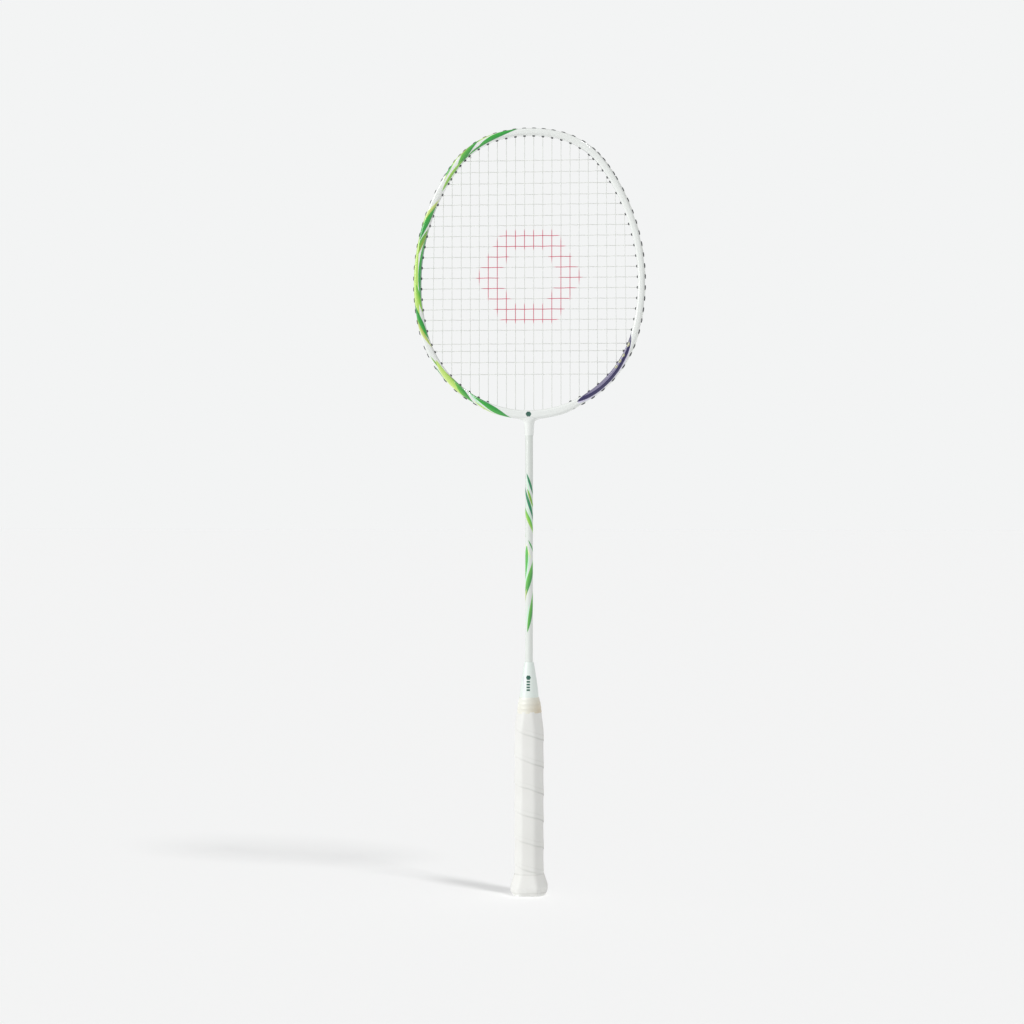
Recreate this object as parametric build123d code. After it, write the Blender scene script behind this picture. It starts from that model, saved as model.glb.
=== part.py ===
from build123d import *
import os
from math import acos, asin, ceil, cos, degrees, hypot, radians, sin

# A strung badminton racket standing on its butt.
# Millimetres. +Z up the shaft to the head, +X across the head, +Y toward the back.
# The origin is the middle of the butt's underside, and the string bed lies about the plane Y = 0.

# ---- driving dimensions ----

overall_length = 675.0

# Head tube: four arcs a side, from the top round to the throat, joined tangentially.
# Angles are clockwise from the top. The last arc closes the loop on the centre line.
head_top_radius = 110.0
head_shoulder_radius = 68.5
head_side_radius = 176.0
head_top_end = 14.0
head_shoulder_end = 54.0
head_side_end = 103.7
tube_width = 6.0
tube_depth = 10.0
tube_corner = 2.2
tube_wall = 1.0
groove_depth = 0.8
groove_play = 0.2
groove_wall = 0.8
groove_end_gap = 1.9

# Throat, where the head meets the shaft
throat_reach = 48.0
throat_drop = 1.7
throat_depth = 9.2
throat_edge = 1.6
neck_wall = 0.8
neck_length = 14.0
neck_taper = 0.6
shaft_seat = 7.0

# Shaft
shaft_diameter = 6.8
shaft_wall = 1.2
shaft_in_handle = 125.0
spigot_length = 27.0
t_joint_reach = 22.0

# Handle, from the butt up
handle_width = 22.5
handle_depth = 20.0
handle_facet = 5.4
handle_length = 173.0
shoulder_length = 26.0
shoulder_top_diameter = 17.2
shoulder_taper = 5.2
cone_seat_wall = 2.6
cone_seat_length = 11.0
handle_pin_diameter = 1.8
handle_pin_height = 140.0
weight_bore = 12.0

# Cone on top of the handle
cone_height = 32.0
cone_base_inset = 0.2
cone_top_wall = 0.7
cone_bulge = 1.0

# Butt cap, its end plate and its pins
butt_height = 19.0
butt_flare_width = 7.1
butt_flare_depth = 6.6
butt_bulge_height = 7.0
butt_floor = 4.0
butt_wall = 2.6
butt_draw = 1.6
plate_diameter = 17.0
plate_thickness = 1.4
plate_recess = 0.4
butt_pin_diameter = 1.2
butt_pin_length = 6.0
butt_pin_height = 12.0
butt_pin_inset = 0.2

# Grip and finishing tape
grip_thickness = 1.5
grip_top_thickness = 0.6
grip_start = 1.0
grip_full_end = 146.0
grip_draw_in = 9.0
tape_start = 160.0
tape_end = 174.0
tape_thickness = 0.3

# Strings
string_diameter = 0.68
string_gap = 0.03
main_count = 22
main_pitch = 8.13
cross_pitch = 9.3
cross_wide_pitch = 10.2
cross_last_pitch = 11.1
cross_even_count = 17
cross_even_drop = 57.0
weave_gap = 0.08
weave_bend = 1.2
last_crossing = 3.0
mouth_bend = 0.8
rim_bend = 0.6
groove_bend = 20.0
groove_step = 5.0
knot_radius = 0.7
knot_gap = 0.1
mouth_gap = 0.3

# Grommets
barrel_wall = 0.4
bore_clearance = 0.09
wide_bore_extra = 0.4
nose_length = 1.0
aim_inset = 0.3
nose_edge = 0.25
flange_length = 4.0
flange_rim = 0.1
flange_thickness = 0.5
throat_mains = 4
throat_slant_x = 7.2
shared_holes = ((10, 4), (11, 6), (11, 18), (10, 20), (9, 21))
string_lift = 0.06

# ---- worked out from them ----

cut_margin = 1.0
string_radius = string_diameter / 2
string_offset = string_radius + string_gap
barrel_bore = 2 * (string_offset + string_radius + bore_clearance)
barrel_diameter = barrel_bore + 2 * barrel_wall
wide_bore = barrel_bore + wide_bore_extra
wide_barrel_diameter = wide_bore + 2 * barrel_wall
flange_width = wide_barrel_diameter + 2 * flange_rim
groove_width = flange_width + 2 * groove_play
half_width = tube_width / 2
groove_floor = half_width - groove_depth
hollow_out = groove_floor - groove_wall
hollow_in = half_width - tube_wall
head_top = overall_length - half_width
cross_even_top = overall_length - cross_even_drop
shaft_bore = shaft_diameter - 2 * shaft_wall
neck_width = shaft_diameter + 2 * neck_wall
cone_seat_diameter = shaft_diameter + 2 * cone_seat_wall
cone_base_diameter = shoulder_top_diameter - 2 * cone_base_inset
cone_top_diameter = shaft_diameter + 2 * cone_top_wall
butt_width = handle_width + butt_flare_width
butt_depth = handle_depth + butt_flare_depth
grip_corner_radius = hypot(handle_width, handle_depth) / 2 + grip_thickness
nose_end = half_width + nose_length
aim_line = half_width + aim_inset
string_out = groove_floor + flange_thickness + string_radius + string_lift
string_in = nose_end + mouth_gap
main_y = -string_offset
cross_y = string_offset
weave_y = main_y - (string_diameter + weave_gap)


# ---- the head's centre line ----

def head_arcs():
    """The right half's arcs: centre x, centre z, radius, first and last angle in degrees."""
    arcs = []
    x, z, start = 0.0, head_top, 0.0
    for radius, end in (
        (head_top_radius, head_top_end),
        (head_shoulder_radius, head_shoulder_end),
        (head_side_radius, head_side_end),
    ):
        centre_x = x - radius * sin(radians(start))
        centre_z = z - radius * cos(radians(start))
        arcs.append((centre_x, centre_z, radius, start, end))
        x = centre_x + radius * sin(radians(end))
        z = centre_z + radius * cos(radians(end))
        start = end
    radius = x / sin(radians(start))
    arcs.append((0.0, z - radius * cos(radians(start)), radius, start, 180.0))
    return arcs


ARCS = head_arcs()


def head_point(angle, out, y=0.0):
    """The point at this angle round the head, out millimetres outside the centre line."""
    side = 1.0
    if angle > 180:
        angle, side = 360 - angle, -1.0
    elif angle < 0:
        angle, side = -angle, -1.0
    for centre_x, centre_z, radius, _, end in ARCS:
        if angle <= end:
            break
    reach = radius + out
    turn = radians(angle)
    return Vector(side * (centre_x + reach * sin(turn)), y, centre_z + reach * cos(turn))


def angle_at_x(x, bottom):
    """Angle of the hole that a string at this x aims for, on the right half."""
    for centre_x, _, radius, start, end in ARCS:
        share = (x - centre_x) / (radius - aim_line)
        if abs(share) > 1:
            continue
        angle = degrees(asin(share))
        if bottom:
            angle = 180 - angle
        if start <= angle <= end:
            return angle
    raise ValueError(f"no point of the head at x = {x}")


def angle_at_z(z):
    """Angle of the hole that a string at this height aims for, on the right half."""
    for _, centre_z, radius, start, end in ARCS:
        share = (z - centre_z) / (radius - aim_line)
        if abs(share) <= 1 and start <= degrees(acos(share)) <= end:
            return degrees(acos(share))
    raise ValueError(f"no point of the head at z = {z}")


def around_head(section, first, last):
    """Carry a section, drawn with x outward and y toward the back, from one angle to another."""
    pieces = []
    for side in (1, -1):
        for centre_x, centre_z, radius, start, end in ARCS:
            low, high = max(start, first), min(end, last)
            if high <= low:
                continue
            out = Vector(side * sin(radians(low)), 0, cos(radians(low)))
            along = Vector(-side * cos(radians(low)), 0, sin(radians(low)))
            place = Plane(
                origin=Vector(side * centre_x, 0, centre_z) + out * radius,
                x_dir=out,
                z_dir=along * side,
            )
            axis = Axis((side * centre_x, 0, centre_z), (0, side, 0))
            pieces.append(revolve(place * section, axis=axis, revolution_arc=high - low))
    return Part() + pieces


# ---- holes, where each string goes through the head ----

main_x = [(k + 0.5) * main_pitch for k in range(main_count // 2)]
cross_z = [cross_even_top + cross_pitch + n * cross_wide_pitch for n in (2, 1, 0)]
cross_z += [cross_even_top - n * cross_pitch for n in range(cross_even_count)]
cross_z.append(cross_z[-1] - cross_last_pitch)


def right_holes():
    """Each hole of the right half by name: its mouth's angle and its outer end's angle."""
    holes = {}
    for k, x in enumerate(main_x, 1):
        for bottom, end in ((False, "top"), (True, "bottom")):
            angle = angle_at_x(x, bottom)
            holes[f"main_{end}_{k}"] = (angle, angle)
    for row, z in enumerate(cross_z, 1):
        angle = angle_at_z(z)
        holes[f"cross_{row}"] = (angle, angle)
    slanted = angle_at_x(throat_slant_x, True)
    holes["main_bottom_1"] = (holes["main_bottom_1"][0], slanted)
    for k, row in shared_holes:
        end = "top" if row < len(cross_z) / 2 else "bottom"
        middle = (holes[f"main_{end}_{k}"][0] + holes[f"cross_{row}"][0]) / 2
        holes[f"main_{end}_{k}"] = holes[f"cross_{row}"] = (middle, middle)
    return holes


HOLES = right_holes()
shared_mains = [f"main_{'top' if row < 11 else 'bottom'}_{k}" for k, row in shared_holes]
shared_crosses = [f"cross_{row}" for _, row in shared_holes]
main_tie = "cross_19"
cross_tie_top = "main_top_7"
cross_tie_bottom = "main_bottom_8"
tie_offs = [main_tie, cross_tie_top, cross_tie_bottom]


# ---- head frame, T joint and shaft ----

def octagon(width, depth, facet):
    """An octagon with 45 degree corners cut back by this much along each side."""
    x, y, c = width / 2, depth / 2, facet
    corners = [(x, y - c), (x - c, y), (c - x, y), (-x, y - c)]
    corners += [(-px, -py) for px, py in corners]
    return make_face(Polyline(*corners, close=True))


def tube_section(inward, outward, corner):
    """A rounded section from this far inside the centre line to this far outside it."""
    depth = tube_depth - 2 * (half_width - inward)
    return Pos((outward - inward) / 2, 0) * RectangleRounded(inward + outward, depth, corner)


def bore_along(hole, radius, inner, outer):
    """A cylinder on a hole's axis, between these distances outside the centre line."""
    start, end = head_point(hole[0], -string_in), head_point(hole[1], string_out)
    axis = (end - start).normalized()
    per_step = (end - start).length / (string_in + string_out)
    base = start + axis * (inner + string_in) * per_step
    return Plane(origin=base, z_dir=axis) * Cylinder(
        radius, (outer - inner) * per_step, align=(Align.CENTER, Align.CENTER, Align.MIN)
    )


def both_sides(pieces):
    """The pieces and their mirror images on the left half."""
    return list(pieces) + [mirror(piece, about=Plane.YZ) for piece in pieces]


throat_z = head_point(180, half_width).Z
shaft_top = throat_z - throat_drop - shaft_seat
neck_bottom = throat_z - throat_drop - neck_length
hollow_corner = tube_corner - tube_wall
shaft_bottom = handle_length + cone_height - shaft_in_handle


def make_throat():
    """The moulded web under the head and the neck that takes the shaft."""
    reach_angle = 180 - degrees(asin(throat_reach / (ARCS[-1][2] + half_width)))
    low_out = half_width - tube_corner / 2
    low_right, low_left = (head_point(side * reach_angle, low_out) for side in (1, -1))
    high_right, high_left = (head_point(side * reach_angle, -half_width / 3) for side in (1, -1))
    low_arc = ThreePointArc(low_left, Vector(0, 0, throat_z - throat_drop), low_right)
    high_arc = ThreePointArc(high_right, head_point(180, -half_width / 3), high_left)
    plan = make_face([low_arc, Line(low_right, high_right), high_arc, Line(high_left, low_left)])
    web = extrude(plan, amount=throat_depth / 2, dir=(0, 1, 0), both=True)
    long_edges = [edge for edge in web.edges() if edge.length > throat_reach]
    rims = [edge for edge in long_edges if edge.center().Z < high_arc.center().Z - half_width]
    web = fillet(rims, throat_edge)
    height = throat_z - neck_bottom
    neck = Pos(0, 0, neck_bottom + height / 2) * Cone(
        (neck_width - neck_taper) / 2, neck_width / 2, height
    )
    return web + neck


def make_head_frame(throat):
    """The hollow tube, grooved outside, drilled for the strings and bored for the shaft."""
    outer = around_head(tube_section(half_width, half_width, tube_corner), 0, 180)
    body = outer + throat
    slot_out = half_width + throat_drop + cut_margin
    slot = Pos((groove_floor + slot_out) / 2, 0) * Rectangle(slot_out - groove_floor, groove_width)
    slot_end = 180 - degrees(asin((throat_slant_x - groove_end_gap) / ARCS[-1][2]))
    body -= around_head(slot, 0, slot_end)
    body -= around_head(tube_section(hollow_in, hollow_out, hollow_corner), 0, 180)
    body -= bore_down(shaft_diameter / 2, neck_bottom, shaft_top)
    body -= bore_down(shaft_bore / 2, shaft_top, throat_z + half_width)
    return body - drilled_holes()


def bore_down(radius, low, high):
    """A round bore on the racket's axis."""
    return Pos(0, 0, (low + high) / 2) * Cylinder(radius, high - low)


def drilled_holes():
    """One cutter for each hole of the head, through both walls of the tube."""
    wide = {HOLES[name] for name in (*shared_mains, *tie_offs)}
    cutters = []
    for hole in set(HOLES.values()):
        diameter = wide_barrel_diameter if hole in wide else barrel_diameter
        cutters.append(bore_along(hole, diameter / 2, -nose_end, half_width))
    return both_sides(cutters)


def make_t_joint():
    """The moulded core: arms inside the head tube and a spigot down into the shaft."""
    arm_angle = 180 - degrees(asin(t_joint_reach / ARCS[-1][2]))
    arms = around_head(tube_section(hollow_in, hollow_out, hollow_corner), arm_angle, 180)
    spigot = bore_down(shaft_bore / 2, shaft_top - spigot_length, throat_z + half_width)
    near = [HOLES[f"main_bottom_{k}"] for k in range(1, throat_mains + 1)]
    cutters = [bore_along(hole, barrel_diameter / 2, -nose_end, half_width) for hole in near]
    return arms + spigot - both_sides(cutters)


def make_shaft():
    """The tube from inside the handle up into the neck."""
    tube = bore_down(shaft_diameter / 2, shaft_bottom, shaft_top)
    return tube - bore_down(shaft_bore / 2, shaft_bottom, shaft_top) - handle_pin_hole()


# ---- grommets ----

def hole_plane(angle):
    """A plane at the head's centre line: local x along the head, local z out of it."""
    out = Vector(sin(radians(angle)), 0, cos(radians(angle)))
    return Plane(origin=head_point(angle, 0), x_dir=Vector(out.Z, 0, -out.X), z_dir=out)


def make_grommet(diameter, bore):
    """A nylon eyelet along local z: nose inside the head, flange on the groove's floor."""
    barrel_length = groove_floor + nose_end
    barrel = Pos(0, 0, groove_floor - barrel_length / 2) * Cylinder(diameter / 2, barrel_length)
    barrel = fillet(barrel.edges().sort_by(Axis.Z)[0], nose_edge)
    flange = extrude(SlotOverall(flange_length, flange_width), flange_thickness)
    flange = Pos(0, 0, groove_floor) * flange
    return barrel + flange - Cylinder(bore / 2, 2 * (nose_end + half_width))


def grommets(names, diameter=barrel_diameter, bore=barrel_bore):
    """The grommets of these holes, both sides."""
    blank = make_grommet(diameter, bore)
    return both_sides([hole_plane(HOLES[name][0]) * blank for name in names])


def throat_grommets():
    """Plain sleeves, flush with the tube's inner face and the groove's floor."""
    band = around_head(
        Pos((groove_floor - half_width) / 2, 0) * Rectangle(half_width + groove_floor, tube_depth),
        90, 180,
    )
    sleeves = []
    for k in range(1, throat_mains + 1):
        hole = HOLES[f"main_bottom_{k}"]
        sleeve = bore_along(hole, barrel_diameter / 2, -nose_end, half_width)
        sleeve -= bore_along(hole, barrel_bore / 2, -nose_end - cut_margin, half_width + cut_margin)
        sleeves.append(sleeve & band)
    return both_sides(sleeves)


# ---- strings ----

def mirrored(hole, right):
    """A hole's two angles, on the right half or on the left."""
    return hole if right else (-hole[0], -hole[1])


class Route:
    """A string's corners, with the bend radius at each."""

    def __init__(self):
        self.points = []
        self.bends = []

    def add(self, point, bend):
        self.points.append(point)
        self.bends.append(bend)

    def mouth(self, hole, y):
        self.add(head_point(hole[0], -string_in, y), mouth_bend)

    def along_groove(self, start, end, y):
        """Out of one hole, round the groove and into the next."""
        self.add(head_point(start[1], string_out, y), rim_bend)
        span = (head_point(end[1], string_out) - head_point(start[1], string_out)).length
        steps = ceil(span / groove_step)
        for n in range(1, steps):
            angle = start[1] + (end[1] - start[1]) * n / steps
            self.add(head_point(angle, string_out, y), groove_bend)
        self.add(head_point(end[1], string_out, y), rim_bend)


def string_tube(points, bends):
    """A string's solid: straight runs joined by tangent arcs."""
    edges = []
    last = points[0]
    for before, corner, after, bend in zip(points, points[1:], points[2:], bends[1:]):
        come = (corner - before).normalized()
        leave = (after - corner).normalized()
        turn = radians(come.get_angle(leave))
        if turn < 1e-4:
            continue
        reach = bend * sin(turn / 2) / cos(turn / 2)
        middle = corner + (leave - come).normalized() * bend * (1 / cos(turn / 2) - 1)
        first, final = corner - come * reach, corner + leave * reach
        edges.append(Line(last, first))
        edges.append(ThreePointArc(first, middle, final))
        last = final
    edges.append(Line(last, points[-1]))
    path = Wire([edge.edge() for edge in edges])
    face = Plane(origin=points[0], z_dir=points[1] - points[0]) * Circle(string_radius)
    return sweep(face, path=path)


def main_at(k, z):
    """How far out the k-th main string stands at this height."""
    high = head_point(HOLES[f"main_top_{k}"][0], -string_in)
    low = head_point(HOLES[f"main_bottom_{k}"][0], -string_in)
    return low.X + (high.X - low.X) * (z - low.Z) / (high.Z - low.Z)


def tail(tie, hole, y, knot_side):
    """From the knot inside a tie-off hole, out, round the groove and up to another hole's mouth."""
    part = Route()
    knot = head_point(tie[0], -nose_end - knot_radius - knot_gap, y + knot_side * knot_radius)
    part.add(knot, 0)
    part.add(head_point(tie[0], -nose_end, y), string_radius)
    part.along_groove(tie, hole, y)
    return part


def make_string(tail_in, route, tail_out):
    """A whole string, with a knot at each end."""
    points = tail_in.points + route.points + tail_out.points[::-1]
    bends = tail_in.bends + route.bends + tail_out.bends[::-1]
    solid = string_tube(points, bends)
    return solid + [Pos(end) * Sphere(knot_radius) for end in (points[0], points[-1])]


def make_main_string():
    """One length up and down through the head, tied off low on each side."""
    numbers = range(1, len(main_x) + 1)
    columns = [(k, False) for k in reversed(numbers)] + [(k, True) for k in numbers]
    mouths = []
    for n, (k, right) in enumerate(columns):
        low = mirrored(HOLES[f"main_bottom_{k}"], right)
        high = mirrored(HOLES[f"main_top_{k}"], right)
        mouths += [low, high] if n % 2 == 0 else [high, low]
    route = Route()
    for n, hole in enumerate(mouths):
        route.mouth(hole, main_y)
        if n % 2 == 1 and n + 1 < len(mouths):
            route.along_groove(hole, mouths[n + 1], main_y)
    tie = HOLES[main_tie]
    tail_in = tail(mirrored(tie, False), mouths[0], main_y, -1)
    return make_string(tail_in, route, tail(tie, mouths[-1], main_y, -1))


def make_cross_string():
    """One length back and forth across the mains, over and under, from the top down."""
    rows = [HOLES[f"cross_{row}"] for row in range(1, len(cross_z) + 1)]
    route = Route()
    for n, hole in enumerate(rows):
        rightward = n % 2 == 0
        mouth = head_point(hole[0], -string_in)
        stations = []
        for k in range(1, len(main_x) + 1):
            x = main_at(k, mouth.Z)
            if x < mouth.X - string_diameter:
                in_front = mouth.X - x > last_crossing
                stations.append((x, in_front and (k + n) % 2 == 1))
                stations.append((-x, in_front and (k + n) % 2 == 0))
        route.mouth(mirrored(hole, not rightward), cross_y)
        for x, in_front in sorted(stations, reverse=not rightward):
            route.add(Vector(x, weave_y if in_front else cross_y, mouth.Z), weave_bend)
        route.mouth(mirrored(hole, rightward), cross_y)
        if n + 1 < len(rows):
            route.along_groove(mirrored(hole, rightward), mirrored(rows[n + 1], rightward), cross_y)
    tail_in = tail(mirrored(HOLES[cross_tie_top], False), mirrored(rows[0], False), cross_y, 1)
    return make_string(tail_in, route, tail(HOLES[cross_tie_bottom], rows[-1], cross_y, 1))


# ---- handle, cone, butt and grip ----

def shoulder_radius(z):
    """The turned shoulder's radius at the top of the handle."""
    return (shoulder_top_diameter + shoulder_taper * (handle_length - z) / shoulder_length) / 2


def turned(low, high, extra):
    """The shoulder's cone between two heights, this much larger all round."""
    return Pos(0, 0, (low + high) / 2) * Cone(
        shoulder_radius(low) + extra, shoulder_radius(high) + extra, high - low
    )


def handle_pin_hole():
    """A cross hole through the handle and the shaft, from front to back."""
    pin = Cylinder(handle_pin_diameter / 2, 2 * handle_depth)
    return Pos(0, 0, handle_pin_height) * Rot(90, 0, 0) * pin


def grown_octagon(width, depth, facet, extra):
    """The octagon moved out by extra on every side."""
    return octagon(width + 2 * extra, depth + 2 * extra, facet + (2 - 2 ** 0.5) * extra)


def tenon(low, high):
    """The handle's stepped end, which the butt cap fits over."""
    section = grown_octagon(handle_width, handle_depth, handle_facet, -butt_wall)
    return Pos(0, 0, low) * extrude(section, high - low)


def butt_sides(height):
    """The butt cap's width and depth: it swells out from the handle, then draws in to the base."""
    if height <= butt_bulge_height:
        share = height / butt_bulge_height
        low, high = (butt_width - 2 * butt_draw, butt_depth - 2 * butt_draw), (butt_width, butt_depth)
    else:
        share = (height - butt_bulge_height) / (butt_height - butt_bulge_height)
        low, high = (butt_width, butt_depth), (handle_width, handle_depth)
    return [a + (b - a) * share for a, b in zip(low, high)]


def butt_shape(base, extra):
    """The flared butt above this height, moved out by extra on every side."""
    rings = [Pos(0, 0, z) * grown_octagon(*butt_sides(z), handle_facet, extra)
             for z in (base, butt_bulge_height, butt_height)]
    return loft(rings, ruled=True)


def butt_pins():
    """Two pins through the butt cap's sides into the tenon."""
    pin = Rot(0, 90, 0) * Cylinder(butt_pin_diameter / 2, butt_pin_length)
    out = (butt_sides(butt_pin_height)[0] - butt_pin_length) / 2 - butt_pin_inset
    return [Pos(side * out, 0, butt_pin_height) * pin for side in (1, -1)]


def make_handle_blank():
    """The octagonal bar above the butt cap, turned down to a shoulder at the top."""
    bar = Pos(0, 0, butt_height) * extrude(
        octagon(handle_width, handle_depth, handle_facet), handle_length - butt_height
    )
    low = handle_length - shoulder_length
    wide = Pos(0, 0, (butt_height + low) / 2) * Cylinder(handle_width, low - butt_height)
    return bar & (wide + turned(low, handle_length, 0))


def make_handle_core():
    """The wooden handle: the blank with a seat for the cone, a tenon for the butt cap, and bores."""
    bar = make_handle_blank()
    seat = bore_down(cone_seat_diameter / 2, handle_length, handle_length + cone_seat_length)
    bar = bar + seat + tenon(butt_floor, butt_height)
    bar -= bore_down(shaft_diameter / 2, shaft_bottom, handle_length + cone_seat_length)
    bar -= bore_down(weight_bore / 2, butt_floor, shaft_bottom - shaft_diameter)
    return bar - handle_pin_hole() - butt_pins()


def make_cone():
    """The cone that finishes the handle round the shaft."""
    low, high = handle_length, handle_length + cone_height
    base, top = cone_base_diameter / 2, cone_top_diameter / 2
    middle = ((base + top) / 2 + cone_bulge, (low + high) / 2)
    profile = make_face([
        Line((0, low), (base, low)),
        ThreePointArc((base, low), middle, (top, high)),
        Line((top, high), (0, high)),
        Line((0, high), (0, low)),
    ])
    solid = revolve(Plane.XZ * profile, axis=Axis.Z)
    solid -= bore_down(cone_seat_diameter / 2, low, low + cone_seat_length)
    return solid - bore_down(shaft_diameter / 2, low, high)


def make_handle_pin():
    """The pin that locks the shaft in the handle, flush with the wood."""
    return Pos(0, 0, handle_pin_height) * Rot(90, 0, 0) * Cylinder(handle_pin_diameter / 2, handle_depth)


def plate_disc(thickness):
    """A disc of the end plate's diameter, standing up from the base."""
    return Pos(0, 0, thickness / 2) * Cylinder(plate_diameter / 2, thickness)


def make_butt_cap():
    """The flared cap: a socket for the tenon above, a recess for the end plate below."""
    cap = butt_shape(0, 0) - tenon(butt_floor, butt_height)
    return cap - plate_disc(plate_recess + plate_thickness) - butt_pins()


def make_butt_plate():
    """The plain disc set in the butt's recess."""
    return Pos(0, 0, plate_recess) * plate_disc(plate_thickness)


def make_grip_wrap():
    """The wound grip as one sleeve: thick on the handle, thin under the finishing tape."""
    octagon_bar = Pos(0, 0, butt_height) * extrude(
        grown_octagon(handle_width, handle_depth, handle_facet, grip_thickness),
        grip_full_end + grip_draw_in - butt_height,
    )
    thin_start = grip_full_end + grip_draw_in
    neat_radius = shoulder_radius(thin_start) + grip_top_thickness
    draw_in = Pos(0, 0, grip_full_end + grip_draw_in / 2) * Cone(
        grip_corner_radius, neat_radius, grip_draw_in
    )
    full = Cylinder(handle_width, grip_full_end - butt_height)
    full = Pos(0, 0, (butt_height + grip_full_end) / 2) * full
    outer = (octagon_bar & (full + draw_in)) + turned(thin_start, handle_length, grip_top_thickness)
    outer += butt_shape(grip_start, grip_thickness)
    return outer - butt_shape(0, 0) - make_handle_blank()


def make_finishing_tape():
    """The tape wound over the grip's top end."""
    thick = grip_top_thickness + tape_thickness
    return turned(tape_start, tape_end, thick) - turned(tape_start, tape_end, grip_top_thickness)


# ---- the racket ----

def make_pieces():
    """Every piece by its node's name. A group of like pieces is a list."""
    throat = make_throat()
    numbers = range(1, len(main_x) + 1)
    taken = set(shared_mains + shared_crosses + tie_offs)
    crosses = [f"cross_{row}" for row in range(1, len(cross_z) + 1) if f"cross_{row}" not in taken]
    tops = [f"main_top_{k}" for k in numbers if f"main_top_{k}" not in taken]
    bottoms = [f"main_bottom_{k}" for k in numbers if k > throat_mains]
    bottoms = [name for name in bottoms if name not in taken]
    cross_grommets = grommets(crosses)
    return {
        "head_frame": make_head_frame(throat),
        "t_joint": make_t_joint(),
        "shaft": make_shaft(),
        "cone": make_cone(),
        "handle_core": make_handle_core(),
        "handle_pin": make_handle_pin(),
        "butt_cap": make_butt_cap(),
        "butt_plate": make_butt_plate(),
        "butt_pins": butt_pins(),
        "grip_wrap": make_grip_wrap(),
        "finishing_tape": make_finishing_tape(),
        "main_string": make_main_string(),
        "cross_string": make_cross_string(),
        "grommets_top": grommets(tops),
        "grommets_bottom": grommets(bottoms),
        "grommets_right": cross_grommets[: len(crosses)],
        "grommets_left": cross_grommets[len(crosses):],
        "grommets_shared": grommets(shared_mains, wide_barrel_diameter, wide_bore),
        "grommets_tie_off": grommets(tie_offs, wide_barrel_diameter, wide_bore),
        "grommets_throat": throat_grommets(),
    }


os.makedirs("parts", exist_ok=True)
for name, piece in make_pieces().items():
    if isinstance(piece, list):
        piece = Compound([solid for item in piece for solid in item.solids()])
    export_step(piece, f"parts/{name}.step")
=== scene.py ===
import bmesh
import bpy
import math
from math import acos, asin, cos, degrees, hypot, pi, radians, sin
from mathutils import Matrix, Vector


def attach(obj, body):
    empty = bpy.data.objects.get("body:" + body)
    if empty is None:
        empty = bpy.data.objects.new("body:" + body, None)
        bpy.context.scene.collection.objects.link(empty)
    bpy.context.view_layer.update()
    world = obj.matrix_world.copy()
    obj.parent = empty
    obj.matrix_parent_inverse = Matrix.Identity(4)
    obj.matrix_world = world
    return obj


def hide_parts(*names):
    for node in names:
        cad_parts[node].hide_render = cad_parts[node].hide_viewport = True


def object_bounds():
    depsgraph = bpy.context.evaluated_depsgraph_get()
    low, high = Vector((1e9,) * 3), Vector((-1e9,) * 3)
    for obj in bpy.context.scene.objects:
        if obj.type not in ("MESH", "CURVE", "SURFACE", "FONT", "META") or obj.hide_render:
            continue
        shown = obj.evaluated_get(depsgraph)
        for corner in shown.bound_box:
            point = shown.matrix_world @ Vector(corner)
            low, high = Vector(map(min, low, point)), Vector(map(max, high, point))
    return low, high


# A strung badminton racket standing on its butt, front toward -Y.
# Lengths are in millimetres, and each piece's mesh is brought to metres when it is made.

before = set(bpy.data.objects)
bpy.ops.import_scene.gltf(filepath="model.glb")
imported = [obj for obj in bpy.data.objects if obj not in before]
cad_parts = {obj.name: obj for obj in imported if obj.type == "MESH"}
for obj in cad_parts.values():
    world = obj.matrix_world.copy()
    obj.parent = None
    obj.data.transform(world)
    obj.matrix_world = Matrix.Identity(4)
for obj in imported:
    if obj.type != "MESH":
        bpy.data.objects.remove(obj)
cad_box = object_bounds()
MM = 0.001

# ---------------------------------------------------------------- stage
# A plain pale floor under an even pale surround, a camera level with the racket's middle and a
# little to its right, a broad light on the left that casts no shadow, and a weaker, narrower one
# at the front right that lays the racket's shadow on the floor behind it.

EYE_DISTANCE = 2.0
EYE_TURN = radians(5.0)
EYE_LENS, EYE_SENSOR = 79.7, 36.0
EYE_SHIFT = (-0.0167, -0.0004)
FLOOR_HALF_WIDTH = 40.0
FLOOR_COLOUR = "fdfdfd"
FLOOR_GLOW = 0.055
LEFT_TOWARD, LEFT_STRENGTH, LEFT_SPREAD = (-0.80, -0.45, 0.35), 1.9, 40.0
RIGHT_TOWARD, RIGHT_STRENGTH, RIGHT_SPREAD = (0.27, -0.24, 0.56), 0.9, 9.0
SURROUND_COLOUR = "f3f4f4"
SURROUND_LIGHT = 0.45


def linear(hex_colour, alpha=1.0):
    """A shader colour from an sRGB hex value."""
    channels = [int(hex_colour[n:n + 2], 16) / 255 for n in (0, 2, 4)]
    return (*(c / 12.92 if c <= 0.04045 else ((c + 0.055) / 1.055) ** 2.4 for c in channels), alpha)


def node(tree, kind, inputs=None, **settings):
    """Add a node. Its settings are attributes; each input is a value, or a socket to link from."""
    made = tree.nodes.new(kind)
    for name, value in settings.items():
        setattr(made, name, value)
    for name, value in (inputs or {}).items():
        socket = made.inputs[name]
        if isinstance(value, bpy.types.NodeSocket):
            tree.links.new(value, socket)
        else:
            socket.default_value = value
    return made


def new_material(name):
    """An empty node material: its tree and its output."""
    material = bpy.data.materials.new(name)
    material.use_nodes = True
    material.node_tree.nodes.clear()
    return material, material.node_tree, node(material.node_tree, "ShaderNodeOutputMaterial")


def add_object(name, mesh):
    """Put a mesh in the scene at the origin."""
    made = bpy.data.objects.new(name, mesh)
    bpy.context.scene.collection.objects.link(made)
    return made


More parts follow.
